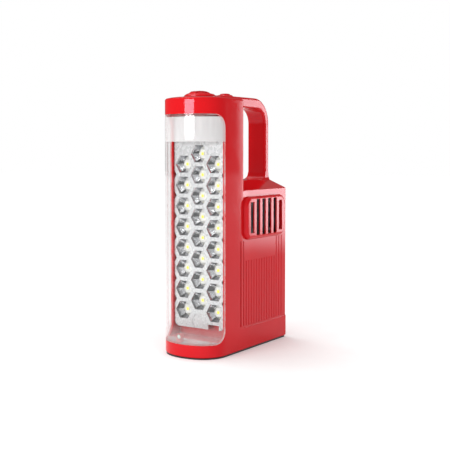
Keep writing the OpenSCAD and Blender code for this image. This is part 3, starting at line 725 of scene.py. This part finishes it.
def inlet_cutter(grow, y0, y1):
    """The inlet's stadium outline: a block with two round ends."""
    lo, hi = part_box("mains_inlet")
    z = (lo.z + hi.z) / 2
    half, r = 6 * MM, 6 * MM + grow
    parts = [loose(block(Vector((-half, y0, z - r)), Vector((half, y1, z + r))), "inlet")]
    for s in (-1, 1):
        parts.append(loose(cylinder(r, Vector((s * half, y0, z)), Vector((s * half, y1, z)), 48),
                           "inlet"))
    return combine(parts[0], parts[1:], "UNION")


combine(rear, bores + [inlet_cutter(0.15 * MM, split_y - MM, back_y + MM)], "DIFFERENCE")
finish_piece(rear, red, "rear_cover")
facing_back = Matrix.Rotation(math.radians(-90), 4, "X")
facing_down = Matrix.Rotation(math.radians(180), 4, "X")
cover_screws = screws("back_screws", [(x, back_y - 0.4 * MM, z) for x, z in cover_places],
                      facing_back, 5.8 * MM)
finish_piece(cover_screws, steel, "cover_screws")
base_screws = screws("foot_screws", [(x, y, 0.5 * MM) for x, y in base_places], facing_down,
                     9 * MM)
finish_piece(base_screws, steel, "base_screws")

# %% [markdown]
# ## CAD meshes with softened edges
# Some pieces already have the right shape in CAD, and lack only the small radius of a moulding. A
# copy of the node has its doubles merged and its flat triangles dissolved, and then a Bevel
# modifier rounds the edges.

# %% Softened copies of CAD nodes
def softened(node, name, width, angle=35):
    bm = merged(nodes[node].data, 2 * FINE)
    bmesh.ops.dissolve_limit(bm, angle_limit=math.radians(0.4), verts=bm.verts[:],
                             edges=bm.edges[:])
    bmesh.ops.recalc_face_normals(bm, faces=bm.faces[:])
    obj = loose(bm, name)
    obj.data.materials.clear()
    soft_edges(obj, width, 2, angle)
    return obj


def soften(node, name, width, material):
    finish_piece(softened(node, name, width), material, node, angle=35)


soften("base_plate", "base_cover", 0.5 * MM, black)
soften("mains_inlet", "mains_socket", 0.3 * MM, black)

# %% [markdown]
# ## Clear cover
# The cover is one clear moulding, 2 mm thick, that wraps round the nose. It is cut from the same
# plan and the same window outline as the housing, a hair smaller, so it sits flush with an even
# gap. Its broad faces are see-through with gloss at grazing angles, and its foot carries a painted
# white reflection. Its cut edges are a little milky and painted brighter, for the light they
# gather.

# %% Lens materials
def clear_plastic():
    """Straight see-through plastic with edge gloss, a milky head band and a painted white
    reflection at the foot.
    """
    mat, tree, shader, coords = new_material(
        "clear_cover", {"Base Color": (0.80, 0.79, 0.79, 1), "Roughness": 0.03})
    split = add_node(tree, "SeparateXYZ")
    feed(split, "Vector", coords)
    height = split.outputs["Z"]
    haze = ramp(tree, noise(tree, coords, 60, 3, (1, 1, 0.15)), 0.34, 0.5)
    head = ramp(tree, height, 0.0, 1.0, (milky_z - fade, milky_z + fade))
    above = ramp(tree, height, 1.0, 0.0, (milky_top - fade, milky_top + fade))
    # Painted reflection: the foot is made whitish up to 38 mm, in place of the front light's
    # reflection.
    foot = ramp(tree, height, 0.5, 0.0, (20 * MM, 38 * MM))
    frost_and_painted_foot_glare = joined(tree, "MAXIMUM", joined(tree, "MULTIPLY", head, above), foot)
    facing = add_node(tree, "LayerWeight", {"Blend": 0.5})
    steep = joined(tree, "POWER", facing.outputs["Facing"], 4)
    gloss = ramp(tree, steep, 0.02, 0.6, (0, 1))
    cover = joined(tree, "MAXIMUM", gloss, joined(tree, "MULTIPLY", frost_and_painted_foot_glare, haze))
    glossy = add_node(tree, "BsdfGlossy", {"Roughness": 0.04})
    pick = add_node(tree, "MixShader")
    feed(pick, "Fac", frost_and_painted_foot_glare)
    feed(pick, 1, glossy.outputs["BSDF"])
    feed(pick, 2, shader.outputs["BSDF"])
    through = add_node(tree, "BsdfTransparent", {"Color": (0.985, 0.985, 0.985, 1)})
    final = add_node(tree, "MixShader")
    feed(final, "Fac", cover)
    feed(final, 1, through.outputs["BSDF"])
    feed(final, 2, pick.outputs["Shader"])
    out = next(n for n in tree.nodes if n.type == "OUTPUT_MATERIAL")
    feed(out, "Surface", final.outputs["Shader"])
    return mat


def edge_plastic():
    """The cut edge of clear plastic: a little milky, and painted brighter for the light it gathers.
    """
    mat, tree, shader, coords = new_material("clear_edge", {"Roughness": 0.15, "IOR": 1.45})
    feed(shader, "Base Color",
         ramp(tree, noise(tree, coords, 30, 2), (0.78, 0.76, 0.72), (0.97, 0.96, 0.95)))
    feed(shader, "Alpha", ramp(tree, noise(tree, coords, 90, 3), 0.18, 0.42))
    return mat


milky_z = 224.4 * MM
milky_top = 250.2 * MM
fade = 0.3 * MM
clear = clear_plastic()
clear_edge = edge_plastic()


# %% Lens mesh
def plan_normal(point):
    """Direction square to the nose's outline at a point's height in plan."""
    x = max(-0.999, min(0.999, point.x / half_w))
    y = max(0.0, (nose_y - point.y) / (nose_y - front_y))
    return Vector((math.copysign(abs(x) ** (nose_power - 1), x) / half_w,
                   -(y ** (nose_power - 1)) / (nose_y - front_y), 0)).normalized()


def lens_piece():
    gap = lens_gap
    z0, z1 = window_lo.z + gap, window_hi.z - gap
    back = window_hi.y + 5 * MM
    outer = loose(prism(plan([(half_w - 0.1 * MM, back)], z0, 0.1 * MM), Vector((0, 0, z1 - z0))),
                  "lens")
    thick = 2 * MM
    inner = prism(plan([(half_w - thick, back + 5 * MM)], z0 + 1.4 * MM, thick),
                  Vector((0, 0, z1 - z0 - 2.8 * MM)))
    keep = prism([Vector((-60 * MM, y, z)) for y, z in (
        (front_y - 9 * MM, z0), (window_hi.y - gap, z0), (window_hi.y - gap, z1),
        (front_y - 9 * MM, z1))], Vector((120 * MM, 0, 0)))
    round_edges(keep, lambda e: along(e, 0) and mid(e).y > front_y, window_r, 14)
    lo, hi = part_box("indicator_holder")
    middle = (lo.x + hi.x) / 2
    slot_lo = Vector((middle - 4.5 * MM, lo.y - 0.2 * MM, 0))
    slot_hi = Vector((middle + 4.5 * MM, hi.y + 0.8 * MM, 0.1))
    combine(outer, [loose(inner, "inner"), loose(block(slot_lo, slot_hi), "slot")], "DIFFERENCE")
    combine(outer, [loose(keep, "keep")], "INTERSECT")
    outer.name = "lens"
    bm = merged(outer.data)
    bm.normal_update()
    for f in bm.faces:
        across = plan_normal(f.calc_center_median())
        if abs(f.normal.dot(across)) < 0.8:
            f.material_index = 1
    write_back(bm, outer)
    return outer


finish_piece(lens_piece(), [clear, clear_edge], "lens_cover")

# %% [markdown]
# ## Reflector and lamps
# The reflector is a plated moulding with a hexagonal cup for every lamp. Its CAD mesh has the
# right cups, so it gets soft edges and a bright, slightly uneven plating. Each lamp is a small
# white package with a yellow phosphor window, made once and copied into the 24 cups.

# %% Plating, phosphor and package finishes
def plating(name, metallic, shades, rough, scales, bump):
    """Plated plastic; scales are those of its clouds, its roughness and its bump."""
    mat, tree, shader, coords = new_material(name, {"Metallic": metallic})
    cloud, haze, grain = scales
    feed(shader, "Base Color", ramp(tree, noise(tree, coords, cloud, 4), *shades))
    feed(shader, "Roughness", ramp(tree, noise(tree, coords, haze, 3), *rough))
    add_bump(tree, shader, noise(tree, coords, grain, 2), bump)
    return mat


plated = plating("bright_plating", 1, ((0.58, 0.59, 0.60), (0.70, 0.70, 0.71)), (0.10, 0.24),
                 (90, 260, 900), 0.00003)
satin = plating("satin_plating", 0.35, ((0.58, 0.59, 0.60), (0.62, 0.63, 0.63)), (0.22, 0.34),
                (70, 200, 700), 0.00004)
plate = softened("reflector", "reflector_plate", 0.3 * MM, 25)
for face in plate.data.polygons:
    face.material_index = int(face.normal.y < -0.95)
finish_piece(plate, [plated, satin], "reflector", angle=25)
package = moulded("led_package", (0.85, 0.84, 0.78), rough=(0.3, 0.4), vary=0.03, peel=0.000005)
phosphor = moulded("led_phosphor_painted_glow", (0.95, 0.78, 0.05), rough=(0.25, 0.4), vary=0.12,
                   peel=0.00001, scale=3000)
# The phosphor gets a faint painted glow, though the lamps are not lit.
phosphor_painted_glow_shader = next(n for n in phosphor.node_tree.nodes if n.type == "BSDF_PRINCIPLED")
put(phosphor_painted_glow_shader, {"Emission Color": (1, 0.85, 0.2, 1), "Emission Strength": 0.35})

# %% Lamps
chip_lo, chip_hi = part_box("led_chips")
CHIP = 3.6 * MM
ROWS = 8
side_x = chip_hi.x - CHIP / 2
lowest = chip_lo.z + CHIP / 2
pitch = (chip_hi.z - chip_lo.z - CHIP) / (ROWS - 0.5)


def lamp_places():
    return [(c * side_x, lowest + (pitch / 2 if c == 0 else 0) + pitch * k)
            for c in (-1, 0, 1) for k in range(ROWS)]


def one_lamp():
    """A package whose front face is inset twice and pressed in for the phosphor window."""
    bm = block(Vector((-CHIP / 2, chip_lo.y, -CHIP / 2)), Vector((CHIP / 2, chip_hi.y, CHIP / 2)))
    bm.normal_update()
    face = min(bm.faces, key=lambda f: f.calc_center_median().y)
    bmesh.ops.inset_region(bm, faces=[face], thickness=0.4 * MM)
    bmesh.ops.inset_region(bm, faces=[face], thickness=0.12 * MM, depth=-0.3 * MM)
    face.material_index = 1
    round_edges(bm, lambda e: max(abs(v.co.x) for v in e.verts) > CHIP / 2 - 1e-5
                or max(abs(v.co.z) for v in e.verts) > CHIP / 2 - 1e-5, 0.12 * MM, 1)
    return loose(bm, "lamp")


lamps = repeated(one_lamp(), "lamps", [Matrix.Translation((x, 0, z)) for x, z in lamp_places()])
finish_piece(lamps, [package, phosphor], "led_chips", weighted=False)

# %% [markdown]
# ## Charge indicator
# A small red stand holds a diffused indicator lamp just behind the foot of the cover. The stand
# is a softened CAD mesh, and the lamp is spun with a domed end.

# %% Indicator
glow_mat, glow_tree, glow_shader, glow_coords = new_material("indicator_lens", {
    "Subsurface Weight": 0.3, "Subsurface Radius": (0.002, 0.002, 0.002), "Roughness": 0.12})
feed(glow_shader, "Base Color", ramp(glow_tree, noise(glow_tree, glow_coords, 600),
                                     (0.55, 0.8, 0.66), (0.8, 0.95, 0.88)))
soften("indicator_holder", "indicator_stand", 0.25 * MM, red)


def indicator():
    lo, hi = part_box("indicator_led")
    r = (hi.x - lo.x) / 2
    length = hi.y - lo.y
    dome = [(r * math.sin(math.radians(a)), length - r + r * math.cos(math.radians(a)))
            for a in range(0, 91, 10)]
    bm = spun(dome + [(r, 0), (0, 0)], (0, 0, 0), 40)
    turn = Matrix.Rotation(math.radians(90), 4, "X")
    at = Matrix.Translation(((lo.x + hi.x) / 2, hi.y, (lo.z + hi.z) / 2))
    bmesh.ops.transform(bm, matrix=at @ turn, verts=bm.verts[:])
    return loose(bm, "indicator_lamp")


finish_piece(indicator(), glow_mat, "indicator_led")

# %% [markdown]
# ## Selector knob
# The knob is spun as a low dome on a thin skirt. Two shallow scoops, one for the thumb and one
# for the finger, are cut out of the dome, and a grip bar is joined on between them.

# %% Knob
def knob_piece():
    r = (knob_hi.x - knob_lo.x) / 2
    z0 = knob_lo.z
    dome = [(17, 1.2), (16.5, 2.0), (15.7, 2.5), (14.4, 3.3), (12.6, 4.0), (10, 4.7), (6.5, 5.1),
            (0, 5.2)]
    hub, recess = 9 * MM, z0 + 2.4 * MM
    profile = [(hub, recess), (hub, z0), (r - 0.5 * MM, z0), (r, z0 + 0.5 * MM)]
    profile += [(x * MM, z0 + z * MM) for x, z in dome]
    bm = spun(profile, knob_axis, 128)
    under = [v for v in bm.verts if abs(v.co.z - recess) < FINE]
    rim = list({e for v in under for e in v.link_edges if len(e.link_faces) == 1})
    bmesh.ops.contextual_create(bm, geom=rim)
    bmesh.ops.recalc_face_normals(bm, faces=bm.faces[:])
    knob = loose(bm, "knob")
    scoops = []
    for s in (-1, 1):
        ball = bmesh.new()
        bmesh.ops.create_uvsphere(ball, u_segments=64, v_segments=32, radius=1)
        bmesh.ops.scale(ball, vec=(7.5 * MM, 10.5 * MM, 2.2 * MM), verts=ball.verts[:])
        bmesh.ops.translate(ball, vec=knob_axis + Vector((s * 10.6 * MM, 0, z0 + 5.2 * MM)),
                            verts=ball.verts[:])
        scoops.append(loose(ball, "scoop"))
    combine(knob, scoops, "DIFFERENCE")
    side_view = [(-14.6, 2.4), (-13.6, 4.2), (-11, 5.6), (-6, 6.4), (0, 6.6), (6, 6.4), (11, 5.6),
                 (13.6, 4.2), (14.6, 2.4)]
    bar = prism([knob_axis + Vector((-3.9 * MM, y * MM, z0 + z * MM)) for y, z in side_view],
                Vector((7.8 * MM, 0, 0)))
    combine(knob, [loose(bar, "bar")], "UNION")
    soft_edges(knob, 0.45 * MM, 3, 28)
    return knob


finish_piece(knob_piece(), red, "selector_knob", body="selector")

# %% [markdown]
# ## Push button and its bezel
# Both are turned shapes: a low sloping ring pressed into the handle, and a domed cap with a
# flange inside that keeps it from coming out.

# %% Button and bezel
def bezel_piece():
    r_out = (bezel_hi.x - bezel_lo.x) / 2
    r_in = (button_hi.x - button_lo.x) / 2 - 1.15 * MM
    z0, z1 = bezel_lo.z, bezel_hi.z
    seat = handle_top
    profile = [(r_in, z0), (6.95 * MM, z0), (6.95 * MM, seat), (r_out - 0.2 * MM, seat),
               (r_out, seat + 0.2 * MM), (r_out - 0.15 * MM, seat + 0.45 * MM),
               (r_out - 1.2 * MM, z1 - 0.25 * MM), (r_out - 1.6 * MM, z1),
               (r_in + 0.4 * MM, z1), (r_in, z1 - 0.35 * MM), (r_in, z0)]
    return loose(spun(profile, button_axis), "bezel")


def button_piece():
    r = 5.8 * MM
    flange = (button_hi.x - button_lo.x) / 2
    z0, z1 = button_lo.z, button_hi.z
    neck = z0 + 1.1 * MM
    profile = [(0, z0), (flange, z0), (flange, neck), (r, neck), (r, z1 - 1.5 * MM),
               (r - 0.2 * MM, z1 - 1.0 * MM), (r - 0.8 * MM, z1 - 0.5 * MM),
               (r - 2.2 * MM, z1 - 0.15 * MM), (r - 4 * MM, z1), (0, z1)]
    return loose(spun(profile, button_axis), "button")


finish_piece(bezel_piece(), red, "button_bezel")
finish_piece(button_piece(), dark_red, "push_button", body="button")

# %% [markdown]
# The button's return spring shortens by the button's travel in the real lantern. Here it's a
# copy of its CAD mesh, with a mesh of its own.

# %% Return spring
spring = loose(merged(nodes["button_spring"].data, 10 * FINE), "return_spring")
finish_piece(spring, steel, "button_spring", weighted=False)
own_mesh(spring)

# %% [markdown]
# ## Siren grille
# The grille is a separate raised frame with round flanks and six tall slots. The frame's front
# edge has a large fillet, so its flank catches the light as a bright band.

# %% Grille
SLOTS = 6
slot_pitch = 11.7 * MM
slot_w = 7.2 * MM
slot_z0, slot_z1 = grille_lo.z + 4 * MM, grille_hi.z - 3 * MM
grille_y = (grille_lo.y + grille_hi.y) / 2


def rounded_plate(lo_yz, hi_yz, x0, x1, radius, segments=10):
    """A plate across X with round corners, as an open bmesh."""
    (y0, z0), (y1, z1) = lo_yz, hi_yz
    bm = block(Vector((x0, y0, z0)), Vector((x1, y1, z1)))
    round_edges(bm, lambda e: along(e, 0), radius, segments)
    return bm


def grille_piece():
    x0 = half_w - side_inset + 0.05 * MM
    x1 = grille_hi.x
    bm = rounded_plate((grille_lo.y, grille_lo.z), (grille_hi.y, grille_hi.z), x0, x1, 10 * MM)
    round_edges(bm, lambda e: all(abs(v.co.x - x1) < FINE for v in e.verts), 4.1 * MM, 7)
    grille = loose(bm, "siren_grille")
    lip = block(Vector((grille_lo.x, grille_lo.y + 6.5 * MM, grille_lo.z + 2.3 * MM)),
                Vector((x1 - 2 * MM, grille_hi.y - 6.5 * MM, grille_hi.z - 1.3 * MM)))
    combine(grille, [loose(lip, "lip")], "UNION")
    cuts = [loose(block(Vector((grille_lo.x - MM, grille_lo.y + 8.5 * MM, grille_lo.z + 4.2 * MM)),
                        Vector((x1 - 1.6 * MM, grille_hi.y - 8.5 * MM, grille_hi.z - 3.2 * MM))),
                  "room")]
    for i in range(SLOTS):
        short = 3 * MM if i in (0, SLOTS - 1) else 0
        y = grille_y + (i - (SLOTS - 1) / 2) * slot_pitch
        slot = rounded_plate((y - slot_w / 2, slot_z0 + short), (y + slot_w / 2, slot_z1 - short),
                             half_w - 5 * MM, x1 + 5 * MM, 1.2 * MM, 4)
        cuts.append(loose(slot, "slot"))
    combine(grille, cuts, "DIFFERENCE")
    soft_edges(grille, 0.45 * MM, 3, 40)
    return grille


finish_piece(grille_piece(), red, "speaker_grille")

# %% [markdown]
# ## Finishes for the inner parts
# The parts inside keep their CAD meshes. Each still has the finish of the real part, because the
# lantern can be opened: solder mask with tracks, stacked laminations, shrink sleeve, pressed
# paper.

# %% Inner finishes
def board_mask(name, colour, track):
    mat, tree, shader, coords = new_material(name)
    brick = add_node(tree, "TexBrick", {
        "Scale": 140, "Mortar Size": 0.012, "Color1": (*colour, 1),
        "Color2": (*(c * 0.85 for c in colour), 1), "Mortar": (*track, 1)})
    mapping = add_node(tree, "Mapping", {"Rotation": (math.radians(90), 0, 0)})
    feed(mapping, "Vector", coords)
    feed(brick, "Vector", mapping.outputs["Vector"])
    feed(shader, "Base Color", brick.outputs["Color"])
    feed(shader, "Roughness", ramp(tree, noise(tree, coords, 500), 0.25, 0.4))
    add_bump(tree, shader, brick.outputs["Fac"], 0.00002)
    return mat


def laminated(name, colour):
    mat, tree, shader, coords = new_material(name, {"Metallic": 0.7})
    wave = add_node(tree, "TexWave", {"Scale": 300, "Distortion": 0.4})
    wave.bands_direction = "Y"
    feed(wave, "Vector", coords)
    feed(shader, "Base Color",
         ramp(tree, wave.outputs["Fac"], tuple(c * 0.5 for c in colour), colour))
    feed(shader, "Roughness", ramp(tree, noise(tree, coords, 200), 0.4, 0.6))
    add_bump(tree, shader, wave.outputs["Fac"], 0.00008)
    return mat


green_board = board_mask("green_mask", (0.02, 0.16, 0.05), (0.1, 0.32, 0.12))
white_board = board_mask("white_mask", (0.82, 0.82, 0.78), (0.7, 0.7, 0.66))
core = laminated("laminations", (0.32, 0.32, 0.34))
paper = moulded("speaker_paper", (0.035, 0.035, 0.038), rough=(0.7, 0.9), vary=0.3, peel=0.0002,
                scale=1400)
ferrite = moulded("ferrite", (0.05, 0.05, 0.055), rough=(0.4, 0.6), vary=0.2, peel=0.00008,
                  scale=900)
basket = metal("pressed_basket", (0.5, 0.51, 0.53), rough=(0.3, 0.45), grain=(120, 120, 120))
case = moulded("battery_case", (0.03, 0.033, 0.04), rough=(0.45, 0.6), vary=0.15, peel=0.0001,
               scale=600)
sleeve = moulded("capacitor_sleeve", (0.01, 0.02, 0.12), rough=(0.15, 0.25), vary=0.1)
relay_blue = moulded("relay_case", (0.02, 0.09, 0.42), rough=(0.25, 0.35), vary=0.08)
tape = moulded("coil_tape", (0.62, 0.42, 0.03), rough=(0.25, 0.4), vary=0.15, peel=0.00008,
               scale=400)
foam = moulded("foam", (0.02, 0.02, 0.02), rough=(0.85, 0.95), vary=0.4, peel=0.0004, scale=900)
resin = moulded("switch_resin", (0.03, 0.09, 0.06), rough=(0.35, 0.5), vary=0.12)
brass = metal("tinned_brass", (0.8, 0.66, 0.4), rough=(0.2, 0.35))
tube = moulded("fuse_tube", (0.75, 0.78, 0.78), rough=(0.05, 0.1), vary=0.05)
wire_red = moulded("wire_red", (0.5, 0.01, 0.012), rough=(0.35, 0.5))
wire_black = moulded("wire_black", (0.012, 0.012, 0.012), rough=(0.35, 0.5))
wire_grey = moulded("wire_grey", (0.4, 0.4, 0.42), rough=(0.35, 0.5))

inner_finish = (
    (white_board, "led_board"), (green_board, "charger_board"), (core, "transformer_core"),
    (tape, "transformer_coil"), (case, "battery"), (brass, "battery_terminals"),
    (foam, "battery_foam"), (sleeve, "capacitors"), (relay_blue, "relay"), (tube, "fuse"),
    (resin, "rotary_switch"), (black, "push_switch speaker_baffle"), (basket, "speaker_frame"),
    (paper, "speaker_cone"), (ferrite, "speaker_magnet"), (wire_red, "battery_lead_red"),
    (wire_black, "battery_lead_black"),
    (wire_grey, "speaker_leads led_leads switch_leads button_leads inlet_leads transformer_leads"),
    (steel, "battery_bracket switch_shaft switch_nut inlet_pins reflector_screws bracket_screws"
            " board_screws baffle_screws"),
)
for material, names in inner_finish:
    for name in names.split():
        mesh = nodes[name].data
        mesh.materials.clear()
        mesh.materials.append(material)
print("inner finishes:", len(inner_finish))

# %% [markdown]
# ## Floor, light and camera
# A plain pale floor and an even white surrounding, which is dimmer for reflections and a little
# dimmer for diffuse light. A strip in front makes the highlight on the nose, a box beside the
# lantern makes the soft reflection down its side, and a broad light above and a distant soft key
# give the shadow.

# %% Floor and surroundings
floor_mat, floor_tree, floor_shader, floor_coords = new_material(
    "pale_floor", {"Roughness": 0.7, "Specular IOR Level": 0})
feed(floor_shader, "Base Color", ramp(floor_tree, noise(floor_tree, floor_coords, 30),
                                      (0.97, 0.97, 0.97), (0.99, 0.99, 0.99)))
floor_bm = bmesh.new()
bmesh.ops.create_grid(floor_bm, x_segments=1, y_segments=1, size=6)
floor = loose(floor_bm, "floor")
floor.data.materials.append(floor_mat)

bpy.context.scene.view_settings.view_transform = "Standard"
world = bpy.data.worlds.new("studio")
bpy.context.scene.world = world
world.use_nodes = True
sky = world.node_tree
background = next(n for n in sky.nodes if n.type == "BACKGROUND")
put(background, {"Color": (1, 1, 1, 1)})
rays = add_node(sky, "LightPath")
seen_glossy = ramp(sky, rays.outputs["Is Glossy Ray"], 1.0, 0.22, (0, 1))
seen_diffuse = ramp(sky, rays.outputs["Is Diffuse Ray"], 1.0, 0.86, (0, 1))
feed(background, "Strength", joined(sky, "MULTIPLY", seen_glossy, seen_diffuse))
print("surroundings ready")

# %% [markdown]
# The lights are rectangles aimed at a target. A feathered one fades towards its edges, so that
# its reflection in the glossy red has no hard outline.

# %% Lights


def softbox(name, place, target, size, power, feather=None, lights_matt=True):
    """A rectangular light; a feathered one fades towards its edges."""
    data = bpy.data.lights.new(name, "AREA")
    data.shape = "RECTANGLE"
    data.size, data.size_y = size
    data.energy = power
    obj = bpy.data.objects.new(name, data)
    bpy.context.scene.collection.objects.link(obj)
    obj.location = place
    obj.rotation_euler = (Vector(target) - Vector(place)).to_track_quat("-Z", "Y").to_euler()
    obj.visible_camera = False
    obj.visible_diffuse = lights_matt
    if feather:
        data.use_nodes = True
        tree = data.node_tree
        lamp = next(n for n in tree.nodes if n.type == "EMISSION")
        split = add_node(tree, "SeparateXYZ")
        feed(split, "Vector", add_node(tree, "NewGeometry").outputs["Parametric"])
        fades = []
        for axis, width in zip("XY", feather):
            flip = joined(tree, "PINGPONG", split.outputs[axis], 0.5)
            rise = add_node(tree, "MapRange", {"From Max": width})
            rise.interpolation_type = "SMOOTHSTEP"
            feed(rise, "Value", flip)
            fades.append(rise.outputs["Result"])
        feed(lamp, "Strength", joined(tree, "MULTIPLY", *fades))


softbox("front_strip", (-0.229, -1.15, 0.335), (0, -0.077, 0.30), (0.57, 0.185), 6.6)
softbox("side_box", (0.3208, 0.558, 0.22), (0.036, 0.02, 0.20), (0.15, 0.40), 1.6,
        feather=(0.04, 0.2), lights_matt=False)
softbox("top_box", (-0.1, -0.1, 1.4), (0, 0, 0), (1.0, 1.0), 1.5)

key_data = bpy.data.lights.new("key", "SUN")
key_data.energy = 0.62
key_data.angle = math.radians(35)
key = bpy.data.objects.new("key", key_data)
key.rotation_euler = Vector((0.55, -0.1, -1)).to_track_quat("-Z", "Y").to_euler()
bpy.context.scene.collection.objects.link(key)

# %% [markdown]
# ## Camera
# The camera stands nearly level with the upper third of the lantern, so the verticals stay almost
# parallel. A little of the downward look is a lens shift, and the rest is a slight tilt.

# %% Camera
AZIMUTH = math.radians(34.3)
FOCAL = 68.8
SENSOR = 36.0
HORIZON = 0.1656
SHIFT = 0.07
cam_data = bpy.data.cameras.new("camera")
cam_data.lens = FOCAL
cam_data.sensor_width = SENSOR
cam_data.shift_y = -SHIFT
camera = bpy.data.objects.new("camera", cam_data)
bpy.context.scene.collection.objects.link(camera)
camera.location = (0.535, -0.7805, 0.2154)
tilt = math.atan((HORIZON - SHIFT) * SENSOR / FOCAL)
camera.rotation_euler = (math.radians(90) - tilt, 0, AZIMUTH)
bpy.context.scene.camera = camera
print("camera tilt", round(math.degrees(tilt), 2), "degrees")
